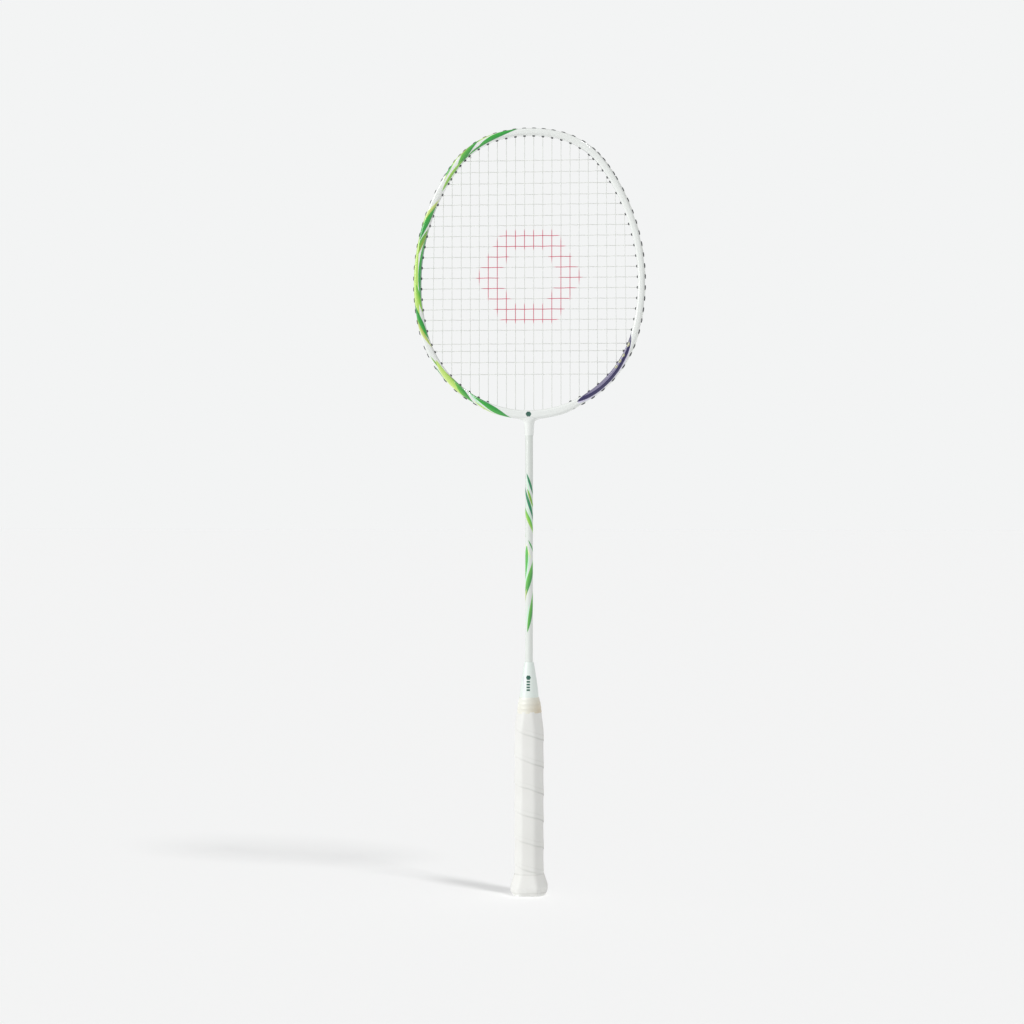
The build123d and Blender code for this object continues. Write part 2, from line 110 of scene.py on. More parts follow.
def seamless_paper():
    """Uncoated paper: near white, with no gloss and a faint glow, so that it keeps its tone far out."""
    material, tree, out = new_material("seamless paper")
    paper = node(tree, "ShaderNodeBsdfPrincipled", {
        "Base Color": linear(FLOOR_COLOUR), "Roughness": 1.0, "Specular IOR Level": 0.0,
        "Emission Color": linear(FLOOR_COLOUR), "Emission Strength": FLOOR_GLOW})
    tree.links.new(paper.outputs[0], out.inputs[0])
    return material


floor_mesh = bpy.data.meshes.new("floor")
corners = ((-1, -1), (1, -1), (1, 1), (-1, 1))
corners = [(x * FLOOR_HALF_WIDTH, y * FLOOR_HALF_WIDTH, 0) for x, y in corners]
floor_mesh.from_pydata(corners, [], [(0, 1, 2, 3)])
floor = add_object("floor", floor_mesh)
floor.data.materials.append(seamless_paper())

middle = (cad_box[0] + cad_box[1]) / 2
eye = bpy.data.objects.new("eye", bpy.data.cameras.new("eye"))
bpy.context.scene.collection.objects.link(eye)
eye.location = (EYE_DISTANCE * sin(EYE_TURN), -EYE_DISTANCE * cos(EYE_TURN), middle.z)
eye.rotation_euler = (pi / 2, 0.0, EYE_TURN)
eye.data.lens = EYE_LENS
eye.data.sensor_width = EYE_SENSOR
eye.data.shift_x, eye.data.shift_y = EYE_SHIFT
bpy.context.scene.camera = eye


def distant_light(name, toward, strength, spread, shadow):
    """A broad far light: the direction it comes from, its strength and its softness in degrees."""
    light = bpy.data.lights.new(name, "SUN")
    light.energy = strength
    light.angle = radians(spread)
    light.use_shadow = shadow
    made = bpy.data.objects.new(name, light)
    made.rotation_euler = Vector(toward).to_track_quat("Z", "Y").to_euler()
    bpy.context.scene.collection.objects.link(made)


distant_light("left softbox", LEFT_TOWARD, LEFT_STRENGTH, LEFT_SPREAD, False)
distant_light("right softbox", RIGHT_TOWARD, RIGHT_STRENGTH, RIGHT_SPREAD, True)

# The surround is seen as an even pale wall, and lights the racket more softly than it looks.
world = bpy.data.worlds.new("studio")
world.use_nodes = True
surround = world.node_tree
surround.nodes.clear()
seen = node(surround, "ShaderNodeLightPath").outputs["Is Camera Ray"]
strength = node(surround, "ShaderNodeMapRange", {"Value": seen, "To Min": SURROUND_LIGHT, "To Max": 1.0})
wall = node(surround, "ShaderNodeBackground", {
    "Color": linear(SURROUND_COLOUR), "Strength": strength.outputs[0]})
node(surround, "ShaderNodeOutputWorld", {"Surface": wall.outputs[0]})
bpy.context.scene.world = world
bpy.context.scene.view_settings.view_transform = "Standard"


# ---------------------------------------------------------------- head frame
# The hollow carbon-fibre head tube with its moulded throat and neck, closed round in one loop.
# It is laid up in a mould, grooved outside for the strings, sprayed pearl white and painted
# with brushed ribbons under a clear lacquer.

HEAD_ARCS = ((110.0, 14.0), (68.5, 54.0), (176.0, 103.7))
TUBE_WIDTH, TUBE_DEPTH, TUBE_CORNER = 6.0, 10.0, 2.2
TUBE_STATION = 1.5
CORNER_STEPS = 6
GROOVE_HALF, GROOVE_DEPTH, GROOVE_EDGE, GROOVE_LIP = 1.7, 0.8, 0.25, 0.25
GROOVE_LAST, GROOVE_FADE = 348.0, 4.0
THROAT_THICKNESS, THROAT_FLAT, THROAT_REACH = 1.7, 26.0, 50.0
NECK_RADII = ((404.8, 3.95, 3.95), (406.0, 4.05, 4.05), (412.0, 4.2, 4.2), (415.4, 4.45, 4.35),
              (417.2, 5.1, 4.5), (418.3, 6.4, 4.6), (419.1, 8.6, 4.65), (420.2, 12.5, 4.7),
              (421.6, 12.5, 4.4))
NECK_SIDES = 48
THROAT_MARK, THROAT_MARK_RADIUS = (-0.1, 423.6), 2.2
FLAT_SHARE = 0.5
THROAT_GROWS_FROM = -1.0
HEAD_SHARP = radians(50)
HALF_TUBE = TUBE_WIDTH / 2
HEAD_TOP = cad_box[1].z / MM - HALF_TUBE


def head_arcs():
    """Right half's arcs: centre x, centre z, radius, first and last angle, length before it."""
    arcs, x, z, start, length = [], 0.0, HEAD_TOP, 0.0, 0.0
    for radius, end in HEAD_ARCS:
        centre = (x - radius * sin(radians(start)), z - radius * cos(radians(start)))
        arcs.append((*centre, radius, start, end, length))
        x = centre[0] + radius * sin(radians(end))
        z = centre[1] + radius * cos(radians(end))
        length += radius * radians(end - start)
        start = end
    radius = x / sin(radians(start))
    arcs.append((0.0, z - radius * cos(radians(start)), radius, start, 180.0, length))
    return arcs


ARCS = head_arcs()


def on_head(angle, out, y=0.0):
    """The point at this angle from the top, this far outside the tube's centre line."""
    side = -1 if angle < 0 else 1
    angle = abs(angle)
    x, z, radius = next(arc for arc in ARCS if angle <= arc[4] + 1e-9)[:3]
    return Vector((side * (x + (radius + out) * sin(radians(angle))), y,
                   z + (radius + out) * cos(radians(angle))))


def length_to(angle):
    """Length of the centre line from the top to this angle."""
    _, _, radius, start, _, before = next(arc for arc in ARCS if abs(angle) <= arc[4] + 1e-9)
    return before + radius * radians(abs(angle) - start)


def smooth_step(share):
    """0 to 1 with a gentle start and end, and level beyond them."""
    share = min(max(share, 0.0), 1.0)
    return share * share * (3 - 2 * share)


def tube_outline(groove):
    """Half the tube's section from its inner middle round the front to its outer middle."""
    half_depth, reach = TUBE_DEPTH / 2, TUBE_CORNER
    outline = [(-HALF_TUBE, 0.0), (-HALF_TUBE, FLAT_SHARE * (half_depth - reach))]
    for centre_out, first in ((reach - HALF_TUBE, 180), (HALF_TUBE - reach, 90)):
        for n in range(CORNER_STEPS + 1):
            angle = radians(first - 90 * n / CORNER_STEPS)
            outline.append((centre_out + reach * cos(angle), half_depth - reach + reach * sin(angle)))
    floor = HALF_TUBE - GROOVE_DEPTH * groove
    lip = HALF_TUBE - GROOVE_LIP * GROOVE_DEPTH * groove
    outline += [(HALF_TUBE, GROOVE_HALF + GROOVE_EDGE), (lip, GROOVE_HALF),
                (floor, GROOVE_HALF), (floor, GROOVE_HALF / 2), (floor, 0.0)]
    return outline


def across_lengths(outline):
    """How far along the section each point lies from the inner middle."""
    lengths = [0.0]
    for before, after in zip(outline, outline[1:]):
        lengths.append(lengths[-1] + math.dist(before, after))
    return lengths


def wall_between(bm, rings):
    """Faces between rings of equal count."""
    for low_ring, high_ring in zip(rings, rings[1:]):
        for k in range(len(low_ring)):
            after = (k + 1) % len(low_ring)
            bm.faces.new((low_ring[k], low_ring[after], high_ring[after], high_ring[k]))


def close_ends(bm, rings):
    """A flat face over the first ring and over the last."""
    bm.faces.new(list(reversed(rings[0])))
    bm.faces.new(rings[-1])


def smooth_mesh(bm, name, sharp):
    """Turn finished faces outwards and make them a smooth mesh with its sharp edges kept."""
    bmesh.ops.recalc_face_normals(bm, faces=bm.faces)
    mesh = bpy.data.meshes.new(name)
    bm.to_mesh(mesh)
    bm.free()
    mesh.shade_smooth()
    mesh.set_sharp_from_angle(angle=sharp)
    return mesh


def make_head_mesh():
    """Sweep the section round the head, thicken the limbs at the throat and add the neck."""
    angles = []
    for _, _, radius, start, end, _ in ARCS:
        count = math.ceil(radius * radians(end - start) / TUBE_STATION)
        angles += [start + (end - start) * n / count for n in range(count)]
    angles.append(180.0)
    stations = [-angle for angle in reversed(angles)] + angles[1:]
    bm = bmesh.new()
    paint = bm.loops.layers.uv.new("paint")
    across = across_lengths(tube_outline(0.0))
    across = [-a for a in reversed(across[1:])] + across[:-1]
    rings = []
    for angle in stations[:-1]:
        length = length_to(angle)
        groove = 1 - smooth_step((length - GROOVE_LAST) / GROOVE_FADE + 0.5)
        half = tube_outline(groove)
        full = [(out, y) for out, y in reversed(half[1:])] + [(out, -y) for out, y in half[:-1]]
        sideways = abs(on_head(angle, 0).x)
        share = smooth_step((THROAT_REACH - sideways) / (THROAT_REACH - THROAT_FLAT))
        low = THROAT_THICKNESS * share if abs(angle) > 90 else 0.0
        ring = []
        for out, y in full:
            lowness = (out - THROAT_GROWS_FROM) / (HALF_TUBE - THROAT_GROWS_FROM)
            grown = out + low * smooth_step(lowness)
            ring.append(bm.verts.new(on_head(angle, grown, y) * MM))
        rings.append(ring)
    count = len(rings[0])
    for n, ring in enumerate(rings):
        following = rings[(n + 1) % len(rings)]
        u, next_u = (math.copysign(length_to(angle), -angle) for angle in stations[n:n + 2])
        for k in range(count):
            after = (k + 1) % count
            face = bm.faces.new((ring[k], following[k], following[after], ring[after]))
            v, next_v = across[k], across[after] if after else -across[0]
            for loop, place in zip(face.loops, ((u, v), (next_u, v), (next_u, next_v), (u, next_v))):
                loop[paint].uv = place
    neck = []
    for z, half_x, half_y in NECK_RADII:
        ring = []
        for k in range(NECK_SIDES):
            angle = 2 * pi * k / NECK_SIDES
            ring.append(bm.verts.new(Vector((half_x * sin(angle), -half_y * cos(angle), z)) * MM))
        neck.append(ring)
    wall_between(bm, neck)
    close_ends(bm, neck)
    return add_object("painted_head", smooth_mesh(bm, "painted_head", HEAD_SHARP))


PEARL = "e6e9e6"
MARK_GREEN = "2f5f50"
LEAF, FERN, FOREST, LIME, LEMON = "3fb03a", "6cc04a", "1f8a3c", "a9d65a", "d6ea8e"
MINT, TEAL, OLIVE, NAVY, KHAKI = "bdf0cd", "35846f", "9aaa45", "1f1850", "a3a281"
STRAND_FULLNESS = 0.7


def paint_strand_group():
    """One brushed ribbon: a lens between two lengths that crosses from one edge to the other."""
    group = bpy.data.node_groups.new("paint strand", "ShaderNodeTree")
    socket = group.interface.new_socket
    socket("Under", in_out="INPUT", socket_type="NodeSocketColor")
    for name in ("Along", "Across", "Start", "End", "From", "To", "Half Width", "Period", "Edge"):
        socket(name, in_out="INPUT", socket_type="NodeSocketFloat")
    for name in ("Inner", "Outer"):
        socket(name, in_out="INPUT", socket_type="NodeSocketColor")
    socket("Colour", in_out="OUTPUT", socket_type="NodeSocketColor")
    given = node(group, "NodeGroupInput").outputs
    share = node(group, "ShaderNodeMapRange", {"Value": given["Along"], "From Min": given["Start"],
                                               "From Max": given["End"]}).outputs[0]
    left = node(group, "ShaderNodeMath", {0: 1.0, 1: share}, operation="SUBTRACT").outputs[0]
    lens = node(group, "ShaderNodeMath", {0: share, 1: left}, operation="MULTIPLY").outputs[0]
    lens = node(group, "ShaderNodeMath", {0: lens, 1: 4.0}, operation="MULTIPLY").outputs[0]
    lens = node(group, "ShaderNodeMath", {0: lens, 1: STRAND_FULLNESS}, operation="POWER").outputs[0]
    centre = node(group, "ShaderNodeMapRange", {"Value": share, "To Min": given["From"],
                                                "To Max": given["To"]}).outputs[0]
    away = node(group, "ShaderNodeMath", {0: given["Across"], 1: centre}, operation="SUBTRACT").outputs[0]
    half_period = node(group, "ShaderNodeMath", {0: given["Period"], 1: 0.5},
                       operation="MULTIPLY").outputs[0]
    minus_half = node(group, "ShaderNodeMath", {0: half_period, 1: -1.0}, operation="MULTIPLY").outputs[0]
    away = node(group, "ShaderNodeMath", {0: away, 1: half_period, 2: minus_half},
                operation="WRAP").outputs[0]
    half = node(group, "ShaderNodeMath", {0: given["Half Width"], 1: lens}, operation="MULTIPLY").outputs[0]
    distance = node(group, "ShaderNodeMath", {0: away}, operation="ABSOLUTE").outputs[0]
    inside = node(group, "ShaderNodeMath", {0: half, 1: distance}, operation="SUBTRACT").outputs[0]
    mask = node(group, "ShaderNodeMapRange", {"Value": inside, "From Min": 0.0,
                                              "From Max": given["Edge"]}).outputs[0]
    minus = node(group, "ShaderNodeMath", {0: half, 1: -1.0}, operation="MULTIPLY").outputs[0]
    side = node(group, "ShaderNodeMapRange", {
        "Value": away, "From Min": minus, "From Max": half}).outputs[0]
    fill = node(group, "ShaderNodeMix", {0: side, 6: given["Inner"], 7: given["Outer"]}, data_type="RGBA")
    laid = node(group, "ShaderNodeMix", {0: mask, 6: given["Under"], 7: fill.outputs[2]}, data_type="RGBA")
    node(group, "NodeGroupOutput", {"Colour": laid.outputs[2]})
    return group


STRAND = paint_strand_group()
STRAND_EDGE = 0.35
NO_REPEAT = 60.0


def lay_strands(tree, under, along, across, period, strands):
    """Lay ribbons over a colour: start, end, from, to, half width, inner and outer colours.

    The period is the distance at which the pattern comes round to itself.
    """
    for start, end, first, last, half, inner, outer in strands:
        made = node(tree, "ShaderNodeGroup", {
            "Under": under, "Along": along, "Across": across, "Start": start, "End": end,
            "From": first, "To": last, "Half Width": half, "Period": period, "Edge": STRAND_EDGE,
            "Inner": linear(inner), "Outer": linear(outer)}, node_tree=STRAND)
        under = made.outputs[0]
    return under


# Length from the top of the head down the left side, and distance round the tube from its inner
# middle: about 3 at the inner edge of the front face, 7 at its middle and 11 at its outer edge.
LEFT_STRANDS = (
    (8, 50, 10.6, 4.0, 2.4, FOREST, LEAF),
    (34, 72, 5.0, 2.0, 1.6, FOREST, LEAF),
    (16, 50, 12.6, 8.6, 1.2, LIME, LEMON),
    (38, 80, 13.0, 1.5, 2.9, FOREST, FERN),
    (44, 92, 13.6, 7.6, 1.5, LIME, LEMON),
    (52, 68, 10.2, 8.6, 0.7, OLIVE, OLIVE),
    (66, 100, 4.0, 4.6, 2.0, FERN, LIME),
    (73, 87, 10.4, 9.0, 1.6, LEAF, FOREST),
    (106, 140, 2.6, 12.6, 1.9, OLIVE, LEMON),
    (112, 160, 2.4, 13.6, 2.7, FOREST, LEAF),
    (118, 144, 8.4, 12.4, 1.0, LIME, LEMON),
    (134, 172, 2.6, 12.8, 2.3, OLIVE, LEAF),
    (143, 226, 10.0, 8.4, 3.3, LIME, LEMON),
    (136, 200, 1.6, 3.6, 3.5, TEAL, LEAF),
    (186, 214, 8.0, 2.4, 2.0, LEAF, LIME),
    (196, 240, 13.8, 1.8, 2.5, FOREST, LEAF),
    (206, 246, 14.4, 3.0, 1.7, OLIVE, LEMON),
    (250, 300, 8.8, 1.6, 1.3, OLIVE, FERN),
    (256, 306, 6.0, 9.8, 2.8, LIME, LEMON),
    (261, 281, 9.8, 12.2, 1.4, LEAF, FOREST),
    (278, 311, 2.2, 12.8, 2.6, FOREST, FERN),
    (294, 322, 2.6, 11.6, 0.9, MINT, MINT),
    (292, 342, 1.4, 10.6, 2.2, FOREST, LEAF),
    (306, 336, 8.4, 12.6, 1.1, LIME, LEMON),
)

# The dark panel low on the right side, measured the same way down that side: a lilac fade round a
# navy field with a grey-violet middle, and four plain blocks along it.
PANEL_START, PANEL_END = 231.0, 312.0
DUSK, HAZE, SMOKE, MIST, FADE = "3c3560", "cdc8e2", "514a66", "8d88a3", "d9d5ea"
PANEL_STRANDS = (
    (PANEL_START, PANEL_END, 3.4, 7.8, 6.2, HAZE, FADE),
    (PANEL_START, PANEL_END, 3.0, 6.6, 5.2, DUSK, NAVY),
    (PANEL_START, 278.0, 3.4, 5.4, 4.4, DUSK, NAVY),
    (PANEL_START + 7, PANEL_END - 8, 3.4, 5.2, 2.8, SMOKE, MIST),
    (240.0, 245.0, 5.2, 5.2, 1.5, KHAKI, KHAKI),
    *((start, start + 4.0, 5.4, 5.4, 1.4, KHAKI, KHAKI) for start in (251.0, 257.0, 263.0)),
)


def hexagon_reach(tree, centre):
    """Half-height of the hexagon that this place lies on, round (x, z) in millimetres, and its y."""
    place = node(tree, "ShaderNodeTexCoord").outputs["Object"]
    centred = node(tree, "ShaderNodeMapping", {
        "Vector": place, "Location": (-centre[0] * MM, 0.0, -centre[1] * MM)}, vector_type="POINT")
    parts = node(tree, "ShaderNodeSeparateXYZ", {0: centred.outputs[0]}).outputs
    wide = node(tree, "ShaderNodeMath", {0: parts[0]}, operation="ABSOLUTE").outputs[0]
    tall = node(tree, "ShaderNodeMath", {0: parts[2]}, operation="ABSOLUTE").outputs[0]
    slant = node(tree, "ShaderNodeMath", {0: wide, 1: cos(pi / 6)}, operation="MULTIPLY").outputs[0]
    slant = node(tree, "ShaderNodeMath", {0: tall, 1: 0.5, 2: slant}, operation="MULTIPLY_ADD").outputs[0]
    return node(tree, "ShaderNodeMath", {0: slant, 1: tall}, operation="MAXIMUM").outputs[0], parts[1]


def inside_hexagon(tree, centre, radius):
    """1 within a plain hexagon on the front face."""
    reach, depth = hexagon_reach(tree, centre)
    facing = node(tree, "ShaderNodeMath", {0: depth, 1: 0.0}, operation="LESS_THAN").outputs[0]
    within = node(tree, "ShaderNodeMath", {0: reach, 1: radius * MM}, operation="LESS_THAN").outputs[0]
    return node(tree, "ShaderNodeMath", {0: within, 1: facing}, operation="MULTIPLY").outputs[0]


def painted_carbon():
    """Gloss lacquer over pearl: near-white with a soft sheen, and painted ribbons."""
    material, tree, out = new_material("pearl lacquer on carbon")
    place = node(tree, "ShaderNodeUVMap", uv_map="paint").outputs[0]
    place = node(tree, "ShaderNodeSeparateXYZ", {0: place}).outputs
    across = node(tree, "ShaderNodeMath", {0: place[1]}, operation="ABSOLUTE").outputs[0]
    right = node(tree, "ShaderNodeMath", {0: place[0], 1: -1.0}, operation="MULTIPLY").outputs[0]
    colour = lay_strands(tree, linear(PEARL), place[0], across, NO_REPEAT, LEFT_STRANDS)
    colour = lay_strands(tree, colour, right, across, NO_REPEAT, PANEL_STRANDS)
    mark = inside_hexagon(tree, THROAT_MARK, THROAT_MARK_RADIUS)
    colour = node(tree, "ShaderNodeMix", {0: mark, 6: colour, 7: linear(MARK_GREEN)},
                  data_type="RGBA").outputs[2]
    shell = node(tree, "ShaderNodeBsdfPrincipled", {
        "Base Color": colour, "Roughness": 0.34, "IOR": 1.5, "Coat Weight": 0.7, "Coat Roughness": 0.06})
    tree.links.new(shell.outputs[0], out.inputs[0])
    return material


painted_head = make_head_mesh()
painted_head.data.materials.append(painted_carbon())
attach(painted_head, "root")
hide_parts("head_frame")


# ---------------------------------------------------------------- grommets
# Nylon eyelets pressed into the head's holes so that the strings don't cut the tube: a round nose
# inside the head, and outside a pad that sits over the groove. They are injection moulded in
# strips, dark grey, with a dull skin.

MAIN_COUNT, MAIN_PITCH = 22, 8.13
CROSS_DROP, CROSS_PITCH, CROSS_WIDE_PITCH, CROSS_LAST_PITCH, CROSS_EVEN = 57.0, 9.3, 10.2, 11.1, 17
AIM_INSET = 0.3
SHARED_HOLES = ((10, 4), (11, 6), (11, 18), (10, 20), (9, 21))
MAIN_TIE, CROSS_FIRST_TIE, CROSS_LAST_TIE = "cross_19", "main_top_7", "main_bottom_8"
THROAT_MAINS = 4
THROAT_SLANT_X = 7.2
NOSE_RADIUS, NOSE_END, NOSE_EDGE = 1.15, -4.05, 0.35
NOSE_ROUND = 0.1
PAD_LENGTH, PAD_WIDTH, PAD_LOW, PAD_HIGH, PAD_EDGE = 4.0, 3.0, 2.2, 3.9, 0.35
EYELET_SIDES = 10
EYELET_SHARP = radians(40)
MOTTLES_PER_MM = 0.9
NYLON_DARK, NYLON_PALE = "38393b", "56585b"
HALF_MAINS = MAIN_COUNT // 2


def angle_for(place, middle_index, turned):
    """Angle of the hole that a string aims for: at this x, or with the other index at this height."""
    aim = HALF_TUBE + AIM_INSET
    for arc in ARCS:
        share = (place - arc[middle_index]) / (arc[2] - aim)
        if abs(share) > 1:
            continue
        angle = degrees(acos(share)) if middle_index else degrees(asin(share))
        angle = 180 - angle if turned else angle
        if arc[3] <= angle <= arc[4]:
            return angle
    raise ValueError(f"no hole for {place}")


def right_holes():
    """Each hole of the right half by name: its mouth's angle and its outer end's angle."""
    holes = {}
    for k in range(1, HALF_MAINS + 1):
        x = (k - 0.5) * MAIN_PITCH
        holes[f"main_top_{k}"] = (angle_for(x, 0, False),) * 2
        holes[f"main_bottom_{k}"] = (angle_for(x, 0, True),) * 2
    even_top = cad_box[1].z / MM - CROSS_DROP
    heights = [even_top + CROSS_PITCH + n * CROSS_WIDE_PITCH for n in (2, 1, 0)]
    heights += [even_top - n * CROSS_PITCH for n in range(CROSS_EVEN)]
    heights.append(heights[-1] - CROSS_LAST_PITCH)
    for row, z in enumerate(heights, 1):
        holes[f"cross_{row}"] = (angle_for(z, 1, False),) * 2
    holes["main_bottom_1"] = (holes["main_bottom_1"][0], angle_for(THROAT_SLANT_X, 0, True))
    for k, row in SHARED_HOLES:
        name = f"main_{'top' if row < len(heights) / 2 else 'bottom'}_{k}"
        middle_angle = (holes[name][0] + holes[f"cross_{row}"][0]) / 2
        holes[name] = holes[f"cross_{row}"] = (middle_angle, middle_angle)
    return holes, len(heights)


HOLES, CROSS_ROWS = right_holes()


def eyelet_mesh():
    """One eyelet along +Z with its own middle at the tube's centre line: nose, barrel and pad."""
    bm = bmesh.new()
    turns = [2 * pi * k / EYELET_SIDES for k in range(EYELET_SIDES)]
    profile = [(NOSE_RADIUS - NOSE_EDGE, NOSE_END), (NOSE_RADIUS - NOSE_ROUND, NOSE_END + NOSE_ROUND),
               (NOSE_RADIUS, NOSE_END + NOSE_EDGE), (NOSE_RADIUS, PAD_LOW)]
    rings = [[bm.verts.new(Vector((r * cos(a), r * sin(a), z)) * MM) for a in turns] for r, z in profile]
    straight = (PAD_LENGTH - PAD_WIDTH) / 2
    for inset, z in ((0.0, PAD_LOW), (0.0, PAD_HIGH - PAD_EDGE), (PAD_EDGE, PAD_HIGH)):
        radius = PAD_WIDTH / 2 - inset
        rings.append([bm.verts.new(Vector((math.copysign(straight, cos(a)) + radius * cos(a),
                                           radius * sin(a), z)) * MM) for a in turns])
    wall_between(bm, rings)
    close_ends(bm, rings)
    return smooth_mesh(bm, "eyelet", EYELET_SHARP)


def dull_nylon():
    """Moulded nylon: dark grey with a dull skin and a faint mottle."""
    material, tree, out = new_material("moulded grey nylon")
    place = node(tree, "ShaderNodeTexCoord").outputs["Object"]
    mottle = node(tree, "ShaderNodeTexNoise", {
        "Vector": place, "Scale": MOTTLES_PER_MM / MM, "Detail": 3.0})
    tint = node(tree, "ShaderNodeMix", {
        0: mottle.outputs[0], 6: linear(NYLON_DARK), 7: linear(NYLON_PALE)}, data_type="RGBA")
    relief = node(tree, "ShaderNodeBump", {
        "Height": mottle.outputs[0], "Strength": 0.25, "Distance": 0.1 * MM})
    skin = node(tree, "ShaderNodeBsdfPrincipled", {
        "Base Color": tint.outputs[2], "Roughness": 0.52, "IOR": 1.53, "Normal": relief.outputs[0]})
    tree.links.new(skin.outputs[0], out.inputs[0])
    return material


def eyelet_tree(prototype, material):
    """Geometry Nodes: one eyelet on each point, turned about Y to the point's outward direction."""
    tree = bpy.data.node_groups.new("eyelets on holes", "GeometryNodeTree")
    tree.interface.new_socket("Holes", in_out="INPUT", socket_type="NodeSocketGeometry")
    size = tree.interface.new_socket("Eyelet Size", in_out="INPUT", socket_type="NodeSocketFloat")
    size.default_value = 1.0
    tree.interface.new_socket("Geometry", in_out="OUTPUT", socket_type="NodeSocketGeometry")
    given = node(tree, "NodeGroupInput").outputs
    eyelet = node(tree, "GeometryNodeObjectInfo", {"Object": prototype})
    outward = node(tree, "GeometryNodeInputNamedAttribute", {"Name": "outward"}, data_type="FLOAT_VECTOR")
    turn = node(tree, "FunctionNodeAlignRotationToVector", {"Vector": outward.outputs[0]},
                axis="Z", pivot_axis="Y")
    placed = node(tree, "GeometryNodeInstanceOnPoints", {
        "Points": given["Holes"], "Instance": eyelet.outputs["Geometry"],
        "Rotation": turn.outputs[0], "Scale": given["Eyelet Size"]})
    real = node(tree, "GeometryNodeRealizeInstances", {0: placed.outputs[0]})
    coated = node(tree, "GeometryNodeSetMaterial", {0: real.outputs[0], "Material": material})
    node(tree, "NodeGroupOutput", {0: coated.outputs[0]})
    return tree


def made_plain(obj, tree, inputs):
    """Run a Geometry Nodes tree on an object and keep its result as a plain mesh."""
    modifier = obj.modifiers.new(tree.name, "NODES")
    modifier.node_group = tree
    for item in tree.interface.items_tree:
        if item.item_type == "SOCKET" and item.in_out == "INPUT" and item.name in inputs:
            modifier[item.identifier] = inputs[item.name]
    graph = bpy.context.evaluated_depsgraph_get()
    mesh = bpy.data.meshes.new_from_object(obj.evaluated_get(graph), depsgraph=graph)
    obj.modifiers.remove(modifier)
    obj.data = mesh
    return obj


def hole_points(name, holes):
    """A mesh of points on the centre line, each with its outward direction."""
    mesh = bpy.data.meshes.new(name)
    mesh.from_pydata([on_head(angle, 0) * MM for angle in holes], [], [])
    outward = mesh.attributes.new("outward", "FLOAT_VECTOR", "POINT")
    for n, angle in enumerate(holes):
        outward.data[n].vector = (on_head(angle, 1) - on_head(angle, 0)).normalized()
    return add_object(name, mesh)


shared = {f"main_{'top' if row < CROSS_ROWS / 2 else 'bottom'}_{k}" for k, row in SHARED_HOLES}
shared_rows = {f"cross_{row}" for _, row in SHARED_HOLES}

GROMMET_SETS = {
    "grommets_top": [(f"main_top_{k}", side) for k in range(1, HALF_MAINS + 1) for side in (1, -1)],
    "grommets_bottom": [(f"main_bottom_{k}", side) for k in range(THROAT_MAINS + 1, HALF_MAINS + 1)
                        for side in (1, -1)],
    "grommets_right": [(f"cross_{row}", 1) for row in range(1, CROSS_ROWS + 1)],
    "grommets_left": [(f"cross_{row}", -1) for row in range(1, CROSS_ROWS + 1)],
    "grommets_shared": [(name, side) for name in sorted(shared) for side in (1, -1)],
    "grommets_tie_off": [(name, side) for name in (MAIN_TIE, CROSS_FIRST_TIE, CROSS_LAST_TIE)
                         for side in (1, -1)],
}
taken = shared | shared_rows | {MAIN_TIE, CROSS_FIRST_TIE, CROSS_LAST_TIE}
eyelet = add_object("eyelet", eyelet_mesh())
nylon = dull_nylon()
eyelets = eyelet_tree(eyelet, nylon)
for cad_name, members in GROMMET_SETS.items():
    if cad_name not in ("grommets_shared", "grommets_tie_off"):
        members = [member for member in members if member[0] not in taken]
    angles = [side * HOLES[name][0] for name, side in members]
    holes = hole_points(cad_name.replace("grommets", "eyelets"), angles)
    piece = made_plain(holes, eyelets, {"Eyelet Size": 1.0})
    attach(piece, "root")
    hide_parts(cad_name)
bpy.data.objects.remove(eyelet)
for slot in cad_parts["grommets_throat"].material_slots:
    slot.material = nylon


# ---------------------------------------------------------------- strings
# Two lengths of braided nylon, held tight: the mains run up and down through the head, and the
# crosses weave over and under them, with loops along the groove outside and a knot at each end.
# A red hexagon is stencilled on the bed.

STRING_RADIUS = 0.34
STRING_SIDES = 8
MAIN_Y, CROSS_Y, FRONT_Y = -0.37, 0.37, -1.13
MOUTH_OUT, GROOVE_OUT, PAD_OUT = -4.3, 3.2, 3.95
LAST_CROSSING = 3.0
WEAVE_STEPS = 6
LOOP_STEP = 4.0
KNOT_RADIUS, KNOT_INSET = 0.75, 0.4
STRING_WHITE, INK_DARK, INK_PALE = "e0e2de", "c9415f", "d77488"
STENCIL_PLACE = (0.0, 545.0)
STENCIL_OUTER, STENCIL_INNER, STENCIL_BLEED = 41.0, 24.0, 1.2
BRAID_PITCH, BRAID_STRANDS, BRAID_RELIEF = 1.6, 4.0, 0.06
INK_PATCHES_PER_MM = 0.26


def signed(hole, side):
    return (side * hole[0], side * hole[1])


def groove_loop(start, end, y):
    """Out of one hole, round the groove's floor and into the next."""
    count = max(2, math.ceil((on_head(end[1], 0) - on_head(start[1], 0)).length / LOOP_STEP))
    middle = [start[1] + (end[1] - start[1]) * n / count for n in range(count + 1)]
    heights = [PAD_OUT] + [GROOVE_OUT] * (count - 1) + [PAD_OUT]
    return [on_head(angle, out, y) for angle, out in zip(middle, heights)]


def tail(tie, y):
    """A knot just inside a tie-off hole."""
    return [on_head(tie[0], MOUTH_OUT - KNOT_INSET, y)]


